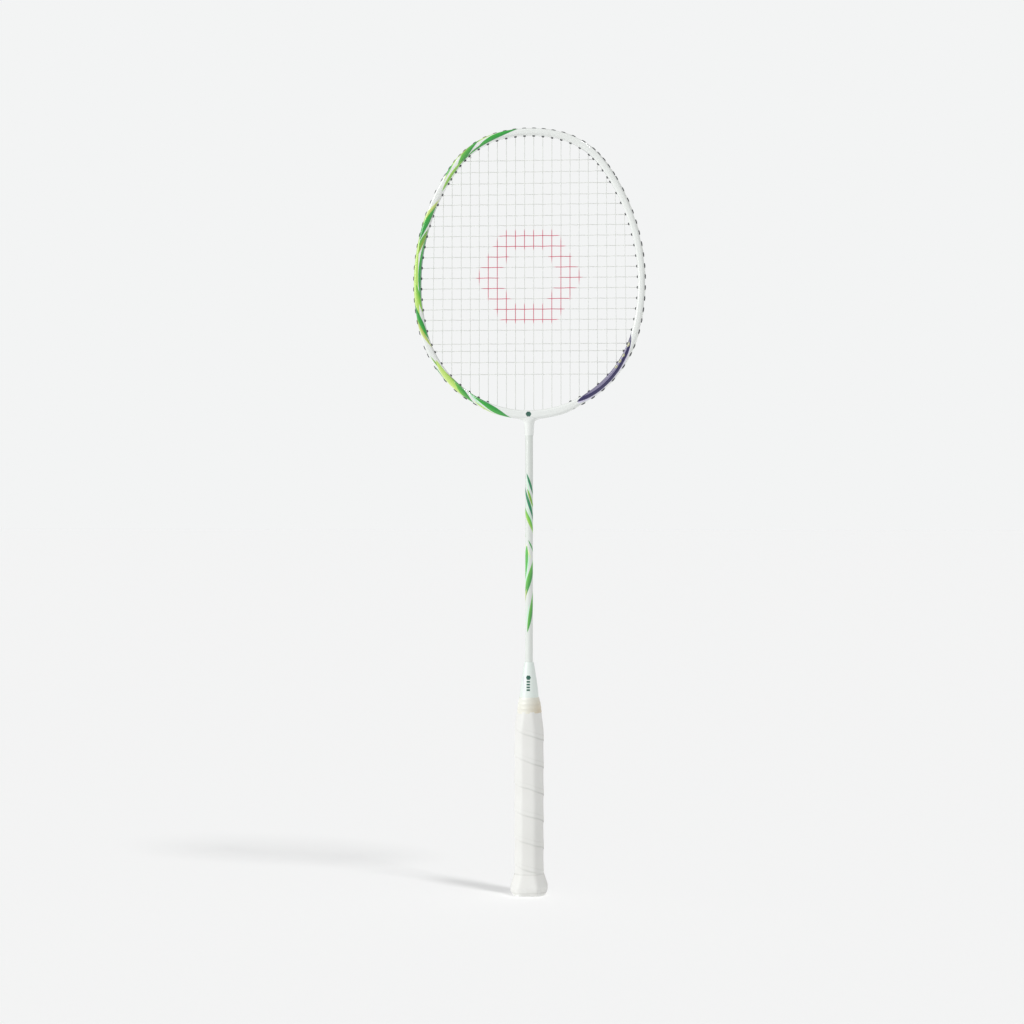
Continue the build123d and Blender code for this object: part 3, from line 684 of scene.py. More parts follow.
def main_route():
    """Up and down through the head from left to right, tied off low on each side."""
    columns = [(k, -1) for k in range(HALF_MAINS, 0, -1)] + [(k, 1) for k in range(1, HALF_MAINS + 1)]
    mouths = []
    for n, (k, side) in enumerate(columns):
        pair = [signed(HOLES[f"main_bottom_{k}"], side), signed(HOLES[f"main_top_{k}"], side)]
        mouths += pair if n % 2 == 0 else pair[::-1]
    tie = HOLES[MAIN_TIE]
    route = tail(signed(tie, -1), MAIN_Y) + groove_loop(signed(tie, -1), mouths[0], MAIN_Y)
    for n, mouth in enumerate(mouths):
        route.append(on_head(mouth[0], MOUTH_OUT, MAIN_Y))
        if n % 2 == 1 and n + 1 < len(mouths):
            route += groove_loop(mouth, mouths[n + 1], MAIN_Y)
    return route + groove_loop(mouths[-1], tie, MAIN_Y) + tail(tie, MAIN_Y)


def main_at(k, z):
    """How far out the k-th main string stands at this height."""
    high, low = (on_head(HOLES[f"main_{end}_{k}"][0], MOUTH_OUT) for end in ("top", "bottom"))
    return low.x + (high.x - low.x) * (z - low.z) / (high.z - low.z)


def woven_row(n, mouth, rightward):
    """One cross string over and under the mains, as a smooth wave."""
    knots = [(-mouth.x, CROSS_Y)]
    for k in range(1, HALF_MAINS + 1):
        x = main_at(k, mouth.z)
        if x < mouth.x - 2 * STRING_RADIUS:
            clear = mouth.x - x > LAST_CROSSING
            knots.append((x, FRONT_Y if clear and (k + n) % 2 == 1 else CROSS_Y))
            knots.append((-x, FRONT_Y if clear and (k + n) % 2 == 0 else CROSS_Y))
    knots.append((mouth.x, CROSS_Y))
    knots.sort()
    row = []
    for (x, y), (next_x, next_y) in zip(knots, knots[1:]):
        steps = WEAVE_STEPS if y != next_y else 1
        for step in range(steps):
            share = step / steps
            wave = (1 - cos(pi * share)) / 2
            row.append(Vector((x + (next_x - x) * share, y + (next_y - y) * wave, mouth.z)))
    row.append(Vector((knots[-1][0], knots[-1][1], mouth.z)))
    return row if rightward else row[::-1]


def cross_route():
    """Back and forth across the mains, from the top down."""
    start, end = signed(HOLES[CROSS_FIRST_TIE], -1), HOLES[CROSS_LAST_TIE]
    rows = [HOLES[f"cross_{row}"] for row in range(1, CROSS_ROWS + 1)]
    route = tail(start, CROSS_Y) + groove_loop(start, signed(rows[0], -1), CROSS_Y)
    for n, hole in enumerate(rows):
        side = 1 if n % 2 == 0 else -1
        route += woven_row(n, on_head(hole[0], MOUTH_OUT), side == 1)
        if n + 1 < len(rows):
            route += groove_loop(signed(hole, side), signed(rows[n + 1], side), CROSS_Y)
    return route + groove_loop(rows[-1], end, CROSS_Y) + tail(end, CROSS_Y)


def string_tree(material):
    """Geometry Nodes: a round string along a route, with its length and turn stored for the braid."""
    tree = bpy.data.node_groups.new("string on route", "GeometryNodeTree")
    tree.interface.new_socket("Route", in_out="INPUT", socket_type="NodeSocketGeometry")
    for name, kind in (("String Radius", "NodeSocketFloat"), ("Knot Radius", "NodeSocketFloat"),
                       ("Sides", "NodeSocketInt")):
        tree.interface.new_socket(name, in_out="INPUT", socket_type=kind)
    tree.interface.new_socket("Geometry", in_out="OUTPUT", socket_type="NodeSocketGeometry")
    given = node(tree, "NodeGroupInput").outputs
    line = node(tree, "GeometryNodeMeshToCurve", {0: given["Route"]})
    parameter = node(tree, "GeometryNodeSplineParameter").outputs
    line = node(tree, "GeometryNodeStoreNamedAttribute", {
        "Geometry": line.outputs[0], "Name": "along", "Value": parameter["Length"]}, data_type="FLOAT")
    ring = node(tree, "GeometryNodeCurvePrimitiveCircle", {
        "Resolution": given["Sides"], "Radius": given["String Radius"]})
    ring = node(tree, "GeometryNodeStoreNamedAttribute", {
        "Geometry": ring.outputs[0], "Name": "around", "Value": parameter["Factor"]}, data_type="FLOAT")
    tube = node(tree, "GeometryNodeCurveToMesh", {
        "Curve": line.outputs[0], "Profile Curve": ring.outputs[0], "Fill Caps": True})
    tube = node(tree, "GeometryNodeSetShadeSmooth", {"Geometry": tube.outputs[0]})
    ends = node(tree, "GeometryNodeCurveEndpointSelection")
    knot = node(tree, "GeometryNodeMeshIcoSphere", {"Radius": given["Knot Radius"], "Subdivisions": 2})
    at_ends = node(tree, "GeometryNodeInstanceOnPoints", {
        "Points": line.outputs[0], "Selection": ends.outputs[0], "Instance": knot.outputs[0]})
    joined = node(tree, "GeometryNodeJoinGeometry", {0: tube.outputs[0]})
    tree.links.new(at_ends.outputs[0], joined.inputs[0])
    real = node(tree, "GeometryNodeRealizeInstances", {0: joined.outputs[0]})
    coated = node(tree, "GeometryNodeSetMaterial", {0: real.outputs[0], "Material": material})
    node(tree, "NodeGroupOutput", {0: coated.outputs[0]})
    return tree


def braided_nylon():
    """Braided nylon string: pale with a soft gloss, a fine braid, and the stencilled hexagon."""
    material, tree, out = new_material("braided string nylon")
    place = node(tree, "ShaderNodeTexCoord").outputs["Object"]
    reach, _ = hexagon_reach(tree, STENCIL_PLACE)
    bleed = STENCIL_BLEED * MM
    outside = node(tree, "ShaderNodeMapRange", {
        "Value": reach, "From Min": STENCIL_OUTER * MM - bleed, "From Max": STENCIL_OUTER * MM + bleed,
        "To Min": 1.0, "To Max": 0.0}).outputs[0]
    inside = node(tree, "ShaderNodeMapRange", {
        "Value": reach, "From Min": STENCIL_INNER * MM - bleed,
        "From Max": STENCIL_INNER * MM + bleed}).outputs[0]
    inked = node(tree, "ShaderNodeMath", {0: outside, 1: inside}, operation="MULTIPLY").outputs[0]
    along = node(tree, "ShaderNodeAttribute", attribute_name="along").outputs["Fac"]
    around = node(tree, "ShaderNodeAttribute", attribute_name="around").outputs["Fac"]
    turns = node(tree, "ShaderNodeMath", {0: along, 1: 1 / (BRAID_PITCH * MM)},
                 operation="MULTIPLY").outputs[0]
    waves = []
    for way in (1.0, -1.0):
        lay = node(tree, "ShaderNodeMath", {0: around, 1: BRAID_STRANDS * way, 2: turns},
                   operation="MULTIPLY_ADD").outputs[0]
        lay = node(tree, "ShaderNodeMath", {0: lay, 1: 2 * pi}, operation="MULTIPLY").outputs[0]
        waves.append(node(tree, "ShaderNodeMath", {0: lay}, operation="SINE").outputs[0])
    braid = node(tree, "ShaderNodeMath", {0: waves[0], 1: waves[1]}, operation="MAXIMUM").outputs[0]
    relief = node(tree, "ShaderNodeBump", {
        "Height": braid, "Strength": 0.35, "Distance": BRAID_RELIEF * MM})
    uneven = node(tree, "ShaderNodeTexNoise", {
        "Vector": place, "Scale": INK_PATCHES_PER_MM / MM, "Detail": 2.0}).outputs[0]
    ink = node(tree, "ShaderNodeMix", {0: uneven, 6: linear(INK_DARK), 7: linear(INK_PALE)},
               data_type="RGBA")
    tint = node(tree, "ShaderNodeMix", {0: inked, 6: linear(STRING_WHITE), 7: ink.outputs[2]},
                data_type="RGBA")
    skin = node(tree, "ShaderNodeBsdfPrincipled", {
        "Base Color": tint.outputs[2], "Roughness": 0.4, "IOR": 1.53, "Normal": relief.outputs[0]})
    tree.links.new(skin.outputs[0], out.inputs[0])
    return material


strung = string_tree(braided_nylon())
for piece_name, cad_name, route in (("main_strings", "main_string", main_route()),
                                    ("cross_strings", "cross_string", cross_route())):
    line = bpy.data.meshes.new(piece_name)
    line.from_pydata([p * MM for p in route], [(n, n + 1) for n in range(len(route) - 1)], [])
    piece = made_plain(add_object(piece_name, line), strung, {
        "String Radius": STRING_RADIUS * MM, "Knot Radius": KNOT_RADIUS * MM, "Sides": STRING_SIDES})
    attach(piece, "root")
    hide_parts(cad_name)


# ---------------------------------------------------------------- shaft
# A slim carbon-fibre tube bonded into the neck above and the handle below, painted with the head
# in the same pearl and ribbons.

SHAFT_RADIUS = 3.4
SHAFT_LOW, SHAFT_HIGH, SHAFT_STATION = 190.0, 411.0, 3.0
SHAFT_SIDES = 48
TURNED_SHARP = radians(50)
SHAFT_AROUND = 2 * pi * SHAFT_RADIUS
SHAFT_PEARL, LIME_WHITE = "dadfda", "f3f7da"

# Height of each ribbon's two ends, and distance round the shaft from its front, plus to the right.
SHAFT_STRANDS = (
    (372, 352, -2.2, 4.6, 1.3, TEAL, FOREST),
    (370, 338, -2.6, 3.6, 0.7, MINT, MINT),
    (358, 341, -1.4, 4.4, 1.3, OLIVE, FERN),
    (364, 326, -6.2, 6.4, 1.5, TEAL, FOREST),
    (352, 322, -5.0, 5.2, 0.6, MINT, MINT),
    (346, 315, -7.0, 7.0, 2.0, LIME, LEAF),
    (313, 301, -0.6, 5.4, 0.9, LEAF, FOREST),
    (310, 296, -3.6, 2.0, 1.0, LEMON, LIME_WHITE),
    (308, 276, -1.8, -5.0, 2.6, FERN, LEAF),
    (304, 258, 1.2, -5.4, 0.7, MINT, MINT),
    (300, 256, 7.4, -6.6, 2.7, FERN, FOREST),
    (270, 254, -2.0, -6.0, 1.2, LEMON, OLIVE),
    (272, 231, 6.4, -1.4, 2.1, FERN, FOREST),
    (258, 236, 0.6, -2.6, 0.6, MINT, MINT),
)


def turned_mesh(name, profile, sides):
    """A closed turned solid from (height, radius) pairs, with height and distance round as its map."""
    bm = bmesh.new()
    wrap = bm.loops.layers.uv.new("wrap")
    turns = [2 * pi * k / sides for k in range(sides)]
    rings = [[bm.verts.new(Vector((r * sin(turn), -r * cos(turn), z)) * MM) for turn in turns]
             for z, r in profile]
    wall_between(bm, rings)
    bm.faces.ensure_lookup_table()
    step = 2 * pi * profile[0][1] / sides
    for n, face in enumerate(bm.faces):
        row, k = divmod(n, sides)
        left = (k if k < sides / 2 else k - sides) * step
        z, next_z = profile[row][0], profile[row + 1][0]
        corners = ((z, left), (z, left + step), (next_z, left + step), (next_z, left))
        for loop, corner in zip(face.loops, corners):
            loop[wrap].uv = corner
    close_ends(bm, rings)
    return add_object(name, smooth_mesh(bm, name, TURNED_SHARP))


def painted_shaft_lacquer():
    """The same gloss pearl lacquer and ribbons, turning round the shaft."""
    material, tree, out = new_material("pearl lacquer on shaft")
    place = node(tree, "ShaderNodeUVMap", uv_map="wrap").outputs[0]
    place = node(tree, "ShaderNodeSeparateXYZ", {0: place}).outputs
    falling = node(tree, "ShaderNodeMath", {0: place[0], 1: -1.0}, operation="MULTIPLY").outputs[0]
    strands = [(-top, -low, *rest) for top, low, *rest in SHAFT_STRANDS]
    colour = lay_strands(tree, linear(SHAFT_PEARL), falling, place[1], SHAFT_AROUND / 2, strands)
    shell = node(tree, "ShaderNodeBsdfPrincipled", {
        "Base Color": colour, "Roughness": 0.34, "IOR": 1.5, "Coat Weight": 0.7, "Coat Roughness": 0.06})
    tree.links.new(shell.outputs[0], out.inputs[0])
    return material


count = math.ceil((SHAFT_HIGH - SHAFT_LOW) / SHAFT_STATION)
profile = [(SHAFT_LOW + (SHAFT_HIGH - SHAFT_LOW) * n / count, SHAFT_RADIUS) for n in range(count + 1)]
painted_shaft = turned_mesh("painted_shaft", profile, SHAFT_SIDES)
painted_shaft.data.materials.append(painted_shaft_lacquer())
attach(painted_shaft, "root")
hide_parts("shaft")


# ---------------------------------------------------------------- cone
# The injection-moulded ABS cone that finishes the handle round the shaft, mint white, with a
# printed mark: a plain hexagon over four short bars.

CONE_PROFILE = ((173.0, 8.3), (173.4, 8.45), (175.0, 8.4), (179.0, 8.0), (184.0, 7.45), (189.0, 6.7),
                (193.0, 6.1), (197.0, 5.45), (201.0, 4.85), (203.4, 4.35), (204.6, 4.1), (205.0, 3.9),
                (205.0, 3.3))
CONE_SIDES = 64
CONE_DARK, CONE_PALE, SPECKS_PER_MM = "dbe7e1", "e6ebe7", 0.6
CONE_MARK, CONE_MARK_RADIUS = (-0.1, 191.6), 1.9
CONE_BARS, CONE_BAR_HALF = (188.0, 185.6, 183.2, 180.8), (1.5, 0.75)
HAIRLINES, HAIRLINE_MIDDLE, HAIRLINE_HALF, HAIRLINE_LILAC = (-4.6, -3.4), 185.5, (0.15, 7.0), "cfc4d6"


def inside_bar(tree, place, centre, half_width, half_height):
    """1 within an upright bar on the front face, in millimetres."""
    parts = node(tree, "ShaderNodeSeparateXYZ", {0: place}).outputs
    within = node(tree, "ShaderNodeMath", {0: parts[1], 1: 0.0}, operation="LESS_THAN").outputs[0]
    for axis, middle_place, half in ((0, centre[0], half_width), (2, centre[1], half_height)):
        near = node(tree, "ShaderNodeMath", {0: parts[axis], 1: middle_place * MM, 2: half * MM},
                    operation="COMPARE").outputs[0]
        within = node(tree, "ShaderNodeMath", {0: within, 1: near}, operation="MULTIPLY").outputs[0]
    return within


def moulded_cone_plastic():
    """Moulded ABS: mint white with a satin skin, faint lilac hairlines and the printed mark."""
    material, tree, out = new_material("mint white moulded abs")
    place = node(tree, "ShaderNodeTexCoord").outputs["Object"]
    speck = node(tree, "ShaderNodeTexNoise", {
        "Vector": place, "Scale": SPECKS_PER_MM / MM, "Detail": 3.0}).outputs[0]
    colour = node(tree, "ShaderNodeMix", {0: speck, 6: linear(CONE_DARK), 7: linear(CONE_PALE)},
                  data_type="RGBA").outputs[2]
    marks = [(inside_hexagon(tree, CONE_MARK, CONE_MARK_RADIUS), MARK_GREEN)]
    for z in CONE_BARS:
        marks.append((inside_bar(tree, place, (CONE_MARK[0], z), *CONE_BAR_HALF), MARK_GREEN))
    for x in HAIRLINES:
        marks.append((inside_bar(tree, place, (x, HAIRLINE_MIDDLE), *HAIRLINE_HALF), HAIRLINE_LILAC))
    for mask, tint in marks:
        colour = node(tree, "ShaderNodeMix", {0: mask, 6: colour, 7: linear(tint)},
                      data_type="RGBA").outputs[2]
    relief = node(tree, "ShaderNodeBump", {"Height": speck, "Strength": 0.12, "Distance": 0.1 * MM})
    skin = node(tree, "ShaderNodeBsdfPrincipled", {
        "Base Color": colour, "Roughness": 0.36, "IOR": 1.54, "Normal": relief.outputs[0]})
    tree.links.new(skin.outputs[0], out.inputs[0])
    return material


moulded_cone = turned_mesh("moulded_cone", CONE_PROFILE, CONE_SIDES)
moulded_cone.data.materials.append(moulded_cone_plastic())
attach(moulded_cone, "root")
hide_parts("cone")


# ---------------------------------------------------------------- finishing tape
# A narrow polyethylene tape wound three times over the grip's top end to hold it. It is a cream,
# slightly see-through film, and each turn's edge and the free flap stand up a little.

TAPE_PROFILE = ((160.0, 10.5), (160.2, 10.75), (160.9, 10.75), (164.0, 10.3), (164.2, 10.45), (164.8, 10.4),
                (168.0, 9.8), (168.2, 9.95), (168.8, 9.85), (171.6, 9.2), (171.8, 9.3), (173.2, 9.0),
                (174.0, 8.85), (174.2, 8.3))
TAPE_SIDES = 72
FLAP_TURN, FLAP_LENGTH, FLAP_LIFT = radians(50), radians(70), 0.3
FLAP_LOW, FLAP_HIGH = 160.2, 170.5
RIPPLES = ((3, 1.0, 0.08), (7, -1.7, 0.05))
TAPE_TILT, TILT_TURN, TILT_LOW, TILT_HIGH = 0.35, 0.6, 160.0, 173.0
CLOUDS_PER_MM, CLOUD_LIFT, CLOUD_RELIEF = 0.09, 4.0, 0.4
LAYERS_LOW, LAYERS_HIGH = 162.0, 176.0
# Painted shade: from a little left of the middle to the right side the tape turns darker and warmer; the
# second pair of colours below is its shaded tone.
SHADE_FROM, SHADE_TO = -2.0, 9.0
PALE_LOW, PALE_HIGH, SHADED_LOW, SHADED_HIGH = "e6e4d8", "e9eae2", "d0c3aa", "dbd8cb"


def tape_film():
    """Thin glossy film over pale leather: cream, yellower where the turns lie over each other, with painted
    shade that makes it darker and warmer toward its right side.
    """
    material, tree, out = new_material("cream polyethylene tape")
    place = node(tree, "ShaderNodeTexCoord").outputs["Object"]
    parts = node(tree, "ShaderNodeSeparateXYZ", {0: place}).outputs
    cloud = node(tree, "ShaderNodeTexNoise", {
        "Vector": place, "Scale": CLOUDS_PER_MM / MM, "Detail": 3.0}).outputs[0]
    lift = node(tree, "ShaderNodeMath", {0: cloud, 1: CLOUD_LIFT * MM, 2: parts[2]},
                operation="MULTIPLY_ADD").outputs[0]
    layers = node(tree, "ShaderNodeMapRange", {
        "Value": lift, "From Min": LAYERS_LOW * MM, "From Max": LAYERS_HIGH * MM}).outputs[0]
    # Painted shade, darker and warmer toward the right side.
    across = node(tree, "ShaderNodeMapRange", {
        "Value": parts[0], "From Min": SHADE_FROM * MM, "From Max": SHADE_TO * MM}).outputs[0]
    pale = node(tree, "ShaderNodeMix", {0: layers, 6: linear(PALE_LOW), 7: linear(PALE_HIGH)},
                data_type="RGBA")
    shaded_tint = node(tree, "ShaderNodeMix", {0: layers, 6: linear(SHADED_LOW), 7: linear(SHADED_HIGH)},
                data_type="RGBA")
    tint = node(tree, "ShaderNodeMix", {0: across, 6: pale.outputs[2], 7: shaded_tint.outputs[2]},
                data_type="RGBA")
    relief = node(tree, "ShaderNodeBump", {
        "Height": cloud, "Strength": 0.3, "Distance": CLOUD_RELIEF * MM})
    film = node(tree, "ShaderNodeBsdfPrincipled", {
        "Base Color": tint.outputs[2], "Roughness": 0.3, "IOR": 1.51, "Normal": relief.outputs[0]})
    tree.links.new(film.outputs[0], out.inputs[0])
    return material


wound_tape = turned_mesh("wound_tape", TAPE_PROFILE, TAPE_SIDES)
for vertex in wound_tape.data.vertices:
    height = vertex.co.z / MM
    turn = math.atan2(vertex.co.x, -vertex.co.y)
    on_flap = 0 <= (turn - FLAP_TURN) / FLAP_LENGTH <= 1 and FLAP_LOW < height < FLAP_HIGH
    raised = FLAP_LIFT if on_flap else 0.0
    ripple = sum(size * sin(waves * turn + rise * height) for waves, rise, size in RIPPLES)
    radius = hypot(vertex.co.x, vertex.co.y)
    grown = 1 + (raised + ripple) * MM / radius
    vertex.co.x *= grown
    vertex.co.y *= grown
    if TILT_LOW < height < TILT_HIGH:
        vertex.co.z += TAPE_TILT * MM * sin(turn + TILT_TURN)
wound_tape.data.materials.append(tape_film())
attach(wound_tape, "root")
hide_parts("finishing_tape")


# ---------------------------------------------------------------- grip
# A strip of soft white polyurethane leather wound up the octagonal handle from the butt, each
# turn lapping the one below. Its edges are skived, so each lap is a soft step. A thin painted
# shade runs along under each lap, darkest on the right side, and round the top of the butt's
# covering and along the tuck near the base.

GRIP_LOW, GRIP_TOP = 1.0, 161.5
GRIP_STATION = 0.55
GRIP_AROUND = 112
GRIP_CORNER, CORNER_REACH = 2.3, 0.45
GRIP_SHARP = radians(60)
GRIP_SKIN, GRIP_SUNK = 0.35, 0.12
LAP_PITCH = 23.8
LAP_SEAM = 141.6
LAP_STEP, LAP_EDGE, LAP_SKIVE = 0.5, 0.6, 15.0
LAP_WAVER, LAP_WAVES = 0.35, ((2, 0.05, 1.0), (5, 0.11, 0.5))
LAP_FADES = ((19.4, 2.0), (160.0, 4.0))
# Painted shade along the lap edges, round the top of the butt's covering and along the tuck near the base:
# where each line lies, how wide it is, how dark it is, and how its darkness changes round the sides.
LAP_SHADE_LEAD, LAP_SHADE_HALF, LAP_SHADE_START = 2.0, 0.55, 1.5
LAP_SHADE_SIDES = (0.55, 0.45, 0.02)
SECOND_LINE, SECOND_HALF, SECOND_SHARE = 4.2, 0.5, 0.35
BUTT_EDGE, BUTT_EDGE_HALF, BUTT_EDGE_SHARE = 18.8, 0.5, 0.6
TUCK_HEIGHT, TUCK_HALF, TUCK_SHARE, TUCK_WAVE = 2.8, 0.45, 0.5, 0.3
GATHER_TOP, GATHER_FADE, GATHER_LOW, GATHER_START = 9.0, 4.0, 1.6, 1.0
FOLD_HEIGHT, FOLD_HALF, FOLD_DEPTH = 2.9, 0.35, 0.28
PLEATS = ((23, 0.6, 0.0, 0.10), (9, 0.0, 2.2, 0.14))
BASE_SHARES = (0.885, 0.875)

# The leather's uneven tone, and the grey and strength of the painted shade along the laps.
WORN_WHITE, CLEAN_WHITE, LAP_SHADE_GREY, LAP_SHADE_STRENGTH = "dcdcd8", "e7e7e4", "a3a49c", 0.45
PEBBLES_PER_MM, CREASES_PER_MM, WORN_PER_MM, PEBBLE_RELIEF = 1.3, 0.26, 0.028, 0.22

# Height, width, depth and corner facet of the wound grip, from the base to under the tape.
GRIP_SECTIONS = (
    (1.0, 28.8, 25.8, 7.4), (1.7, 30.2, 27.2, 7.4), (3.2, 31.4, 28.4, 7.4), (5.0, 32.2, 29.2, 7.5),
    (7.4, 32.5, 29.4, 7.5), (9.5, 31.7, 28.6, 7.4), (12.5, 30.0, 27.0, 7.2), (15.5, 28.1, 25.2, 6.9),
    (17.6, 26.9, 24.2, 6.7), (18.6, 26.2, 23.6, 6.6), (19.3, 25.3, 22.8, 6.3), (30.0, 25.3, 22.8, 6.3),
    (60.0, 25.3, 22.8, 6.3), (100.0, 25.3, 22.8, 6.3), (141.0, 25.3, 22.8, 6.3), (146.0, 25.1, 22.8, 6.4),
    (149.0, 24.6, 22.7, 6.6), (152.0, 23.9, 22.5, 6.6), (156.0, 22.8, 22.0, 6.4), (162.0, 20.9, 20.9, 6.1),
)


def between(table, height):
    """Sizes at this height, eased between the table's rows."""
    for low, high in zip(table, table[1:]):
        if height <= high[0]:
            break
    share = min(max((height - low[0]) / (high[0] - low[0]), 0.0), 1.0)
    return [a + (b - a) * share for a, b in zip(low[1:], high[1:])]


def octagon_walk(width, depth, facet, corner):
    """Points evenly round a rounded octagon, from the middle of the front."""
    x, y = width / 2, depth / 2
    corners = [(facet - x, -y), (x - facet, -y), (x, facet - y), (x, y - facet),
               (x - facet, y), (facet - x, y), (-x, y - facet), (-x, facet - y)]
    outline = []
    for n, here in enumerate(corners):
        ends = []
        for other in (corners[n - 1], corners[(n + 1) % len(corners)]):
            side = math.dist(here, other)
            reach = min(corner, CORNER_REACH * side) / side
            ends.append([h + (o - h) * reach for h, o in zip(here, other)])
        for share in (0.0, 0.25, 0.5, 0.75, 1.0):
            outline.append([(1 - share) ** 2 * f + 2 * share * (1 - share) * h + share ** 2 * e
                            for f, h, e in zip(ends[0], here, ends[1])])
    start = [0.0, -y]
    first = next(n for n, p in enumerate(outline) if p[0] > 0 and p[1] < 0)
    ordered = [start] + outline[first:] + outline[:first] + [start]
    steps = [math.dist(a, b) for a, b in zip(ordered, ordered[1:])]
    total, walked, points, n = sum(steps), 0.0, [], 0
    for k in range(GRIP_AROUND):
        target = total * k / GRIP_AROUND
        while walked + steps[n] < target:
            walked += steps[n]
            n += 1
        share = (target - walked) / steps[n]
        points.append([a + (b - a) * share for a, b in zip(ordered[n], ordered[n + 1])])
    return points


def above_seam(height, share):
    """Height over the strip's wavering edge, which climbs to the left as it goes round."""
    waver = sum(size * sin(2 * pi * share * waves + height * rise) for waves, rise, size in LAP_WAVES)
    turn = share if share < 0.5 else share - 1.0
    return height - (LAP_SEAM - LAP_PITCH * turn) + LAP_WAVER * waver


def lap_height(height, share):
    """How far the wound strip stands up here: the upper turn's edge lies over the turn below."""
    above = above_seam(height, share) % LAP_PITCH
    return LAP_STEP * smooth_step(above / LAP_EDGE) * (1 - smooth_step(above / LAP_SKIVE))


def crease(away, half_width):
    """A soft line: 1 at its middle, fading to both sides."""
    return math.exp(-(away / half_width) ** 2)


def tuck_wave(share):
    """How far the tucked edge near the base wanders up and down on its way round."""
    return TUCK_WAVE * sin(4 * pi * share)


def painted_lap_shade(height, share):
    """How much painted shade lies here: along under each lap, darkest on the right side, where the butt's
    covering starts, and by the base.
    """
    above = (above_seam(height, share) + LAP_SHADE_LEAD) % LAP_PITCH - LAP_SHADE_LEAD
    # The painted shade is darkest on the right side and faintest on the left.
    side = LAP_SHADE_SIDES[0] + LAP_SHADE_SIDES[1] * sin(2 * pi * (share - LAP_SHADE_SIDES[2]))
    lap = side * (crease(above, LAP_SHADE_HALF) + SECOND_SHARE * crease(above - SECOND_LINE, SECOND_HALF))
    lap *= smooth_step((height - LAP_FADES[0][0]) / LAP_SHADE_START)
    collar = BUTT_EDGE_SHARE * crease(height - BUTT_EDGE, BUTT_EDGE_HALF)
    tuck = TUCK_SHARE * crease(height - TUCK_HEIGHT - tuck_wave(share), TUCK_HALF)
    return min(1.0, lap + collar + tuck)


def make_grip_mesh():
    """The wound sleeve, closed top and bottom over the handle and the butt cap."""
    bm = bmesh.new()
    seam = bm.verts.layers.float.new("seam")
    count = math.ceil((GRIP_TOP - GRIP_LOW) / GRIP_STATION)
    (fade_low, low_reach), (fade_high, high_reach) = LAP_FADES
    rings = []
    for n in range(count + 1):
        height = GRIP_LOW + (GRIP_TOP - GRIP_LOW) * n / count
        width, depth, facet = between(GRIP_SECTIONS, height)
        fade = smooth_step((height - fade_low) / low_reach) * smooth_step((fade_high - height) / high_reach)
        gather = smooth_step((GATHER_TOP - height) / GATHER_FADE)
        gather *= smooth_step((height - GATHER_LOW) / GATHER_START)
        ring = []
        walk = octagon_walk(width - 2 * GRIP_SKIN, depth - 2 * GRIP_SKIN, facet, GRIP_CORNER)
        for k, (x, y) in enumerate(walk):
            share = k / GRIP_AROUND
            pleat = sum(size * sin(2 * pi * share * waves + rise * height + start)
                        for waves, rise, start, size in PLEATS)
            pleat -= FOLD_DEPTH * crease(height - FOLD_HEIGHT - tuck_wave(share), FOLD_HALF)
            out = GRIP_SKIN + fade * (lap_height(height, share) - GRIP_SUNK) + gather * pleat
            grown = 1 + out / hypot(x, y)
            made = bm.verts.new(Vector((x * grown, y * grown, height)) * MM)
            # Painted shade along the laps, kept on each point for the leather's colour.
            made[seam] = painted_lap_shade(height, share)
            ring.append(made)
        rings.append(ring)
    base = [bm.verts.new((v.co.x * BASE_SHARES[0], v.co.y * BASE_SHARES[1], v.co.z)) for v in rings[0]]
    rings.insert(0, base)
    wall_between(bm, rings)
    close_ends(bm, rings)
    return add_object("wound_grip", smooth_mesh(bm, "wound_grip", GRIP_SHARP))


def soft_polyurethane():
    """Embossed polyurethane leather: white, matte and slightly tacky, with a fine pebble grain, and painted
    shade along its laps, by the butt's covering and near the base.
    """
    material, tree, out = new_material("white polyurethane leather")
    place = node(tree, "ShaderNodeTexCoord").outputs["Object"]
    pebbles = node(tree, "ShaderNodeTexVoronoi", {
        "Vector": place, "Scale": PEBBLES_PER_MM / MM}, feature="SMOOTH_F1").outputs[0]
    creases = node(tree, "ShaderNodeTexNoise", {
        "Vector": place, "Scale": CREASES_PER_MM / MM, "Detail": 5.0}).outputs[0]
    worn = node(tree, "ShaderNodeTexNoise", {
        "Vector": place, "Scale": WORN_PER_MM / MM, "Detail": 2.0}).outputs[0]
    height = node(tree, "ShaderNodeMath", {0: creases, 1: 0.8, 2: pebbles},
                  operation="MULTIPLY_ADD").outputs[0]
    relief = node(tree, "ShaderNodeBump", {
        "Height": height, "Strength": 0.4, "Distance": PEBBLE_RELIEF * MM})
    tint = node(tree, "ShaderNodeMix", {0: worn, 6: linear(WORN_WHITE), 7: linear(CLEAN_WHITE)},
                data_type="RGBA")
    # Painted shade: greys the leather along the laps, by the butt's covering and near the base.
    seam = node(tree, "ShaderNodeAttribute", attribute_name="seam").outputs["Fac"]
    seam = node(tree, "ShaderNodeMath", {0: seam, 1: LAP_SHADE_STRENGTH}, operation="MULTIPLY").outputs[0]
    tint = node(tree, "ShaderNodeMix", {0: seam, 6: tint.outputs[2], 7: linear(LAP_SHADE_GREY)},
                data_type="RGBA")
    rough = node(tree, "ShaderNodeMapRange", {"Value": worn, "To Min": 0.48, "To Max": 0.64}).outputs[0]
    skin = node(tree, "ShaderNodeBsdfPrincipled", {
        "Base Color": tint.outputs[2], "Roughness": rough, "IOR": 1.49, "Sheen Weight": 0.08,
        "Normal": relief.outputs[0]})
    tree.links.new(skin.outputs[0], out.inputs[0])
    return material


wound_grip = make_grip_mesh()
wound_grip.data.materials.append(soft_polyurethane())
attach(wound_grip, "root")
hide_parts("grip_wrap")


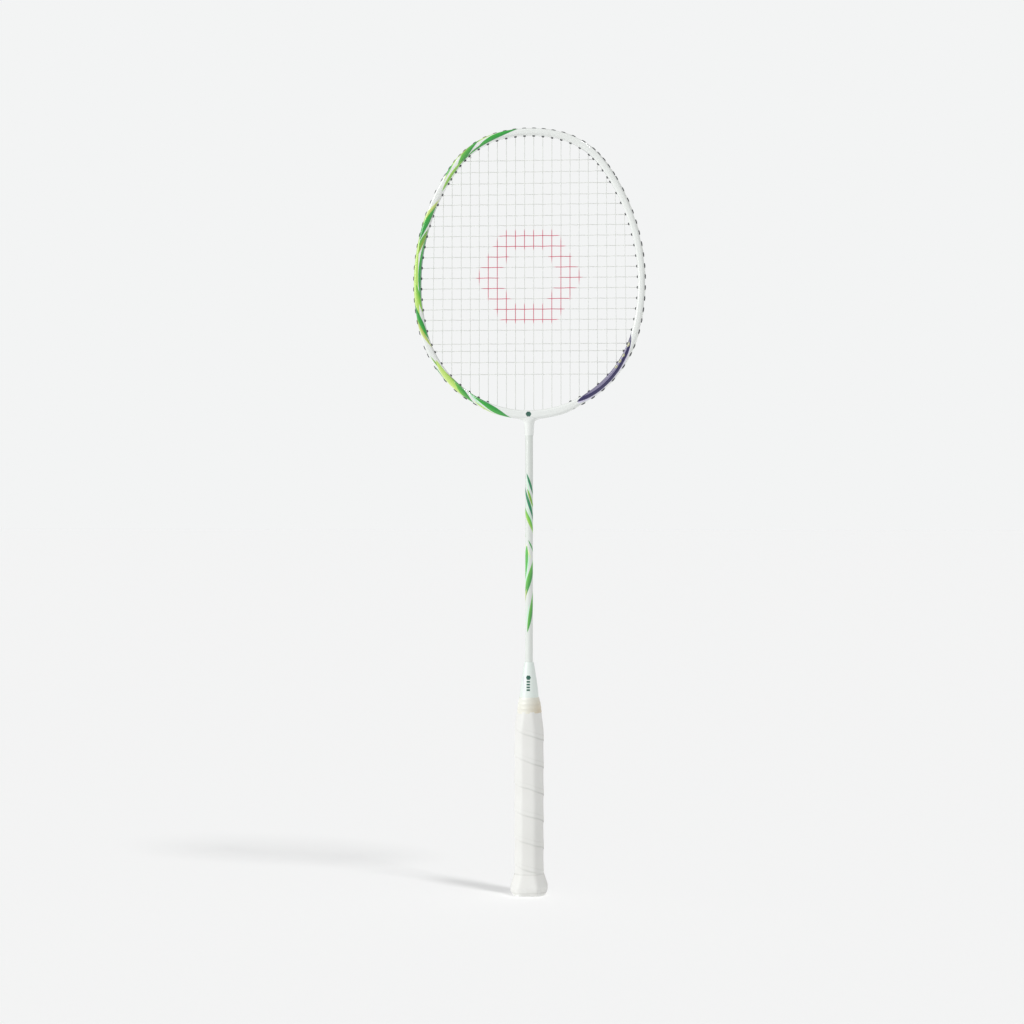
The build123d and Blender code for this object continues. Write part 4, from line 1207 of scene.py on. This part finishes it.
# ---------------------------------------------------------------- butt and inner pieces
# The butt cap's base and its plain end plate show from below. The wooden handle, the pins and
# the moulded T joint are inside, each in its own material.


def plain_finish(name, pale, dark, roughness, per_mm, relief_mm, metallic=0.0, stretch=(1, 1, 1)):
    """A finish with a fine uneven tone: two colours, its roughness and its pattern in millimetres."""
    material, tree, out = new_material(name)
    place = node(tree, "ShaderNodeTexCoord").outputs["Object"]
    stretched = node(tree, "ShaderNodeMapping", {"Vector": place, "Scale": stretch}).outputs[0]
    pattern = node(tree, "ShaderNodeTexNoise", {
        "Vector": stretched, "Scale": per_mm / MM, "Detail": 4.0}).outputs[0]
    tint = node(tree, "ShaderNodeMix", {0: pattern, 6: linear(dark), 7: linear(pale)}, data_type="RGBA")
    relief = node(tree, "ShaderNodeBump", {"Height": pattern, "Strength": 0.3, "Distance": relief_mm * MM})
    skin = node(tree, "ShaderNodeBsdfPrincipled", {
        "Base Color": tint.outputs[2], "Roughness": roughness, "Metallic": metallic,
        "Normal": relief.outputs[0]})
    tree.links.new(skin.outputs[0], out.inputs[0])
    return material


# Polypropylene and ABS are even and satin, zinc and steel wire are bright and faintly mottled,
# basswood shows long pale grain up the handle, and the resin is dark and dull.
INNER_FINISHES = {
    "butt_cap": plain_finish("white moulded polypropylene", "f1f2ef", "e4e6e2", 0.45, 0.5, 0.1),
    "butt_plate": plain_finish("green moulded abs", "3f7d66", "2f6a55", 0.35, 0.7, 0.05),
    "butt_pins": plain_finish("bright zinc on steel", "c9ccd0", "a9adb2", 0.3, 1.5, 0.02, 1.0),
    "handle_pin": plain_finish("drawn steel wire", "c4c6c8", "9fa2a5", 0.35, 1.5, 0.02, 1.0, (1, 0.1, 1)),
    "handle_core": plain_finish("planed basswood", "ecd9b4", "d3b98a", 0.7, 0.22, 0.15, 0.0, (1, 1, 0.06)),
    "t_joint": plain_finish("dark moulded resin", "3a3c40", "26282b", 0.5, 0.9, 0.05),
}
for cad_name, finish in INNER_FINISHES.items():
    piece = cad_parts[cad_name]
    for slot in piece.material_slots:
        slot.material = finish
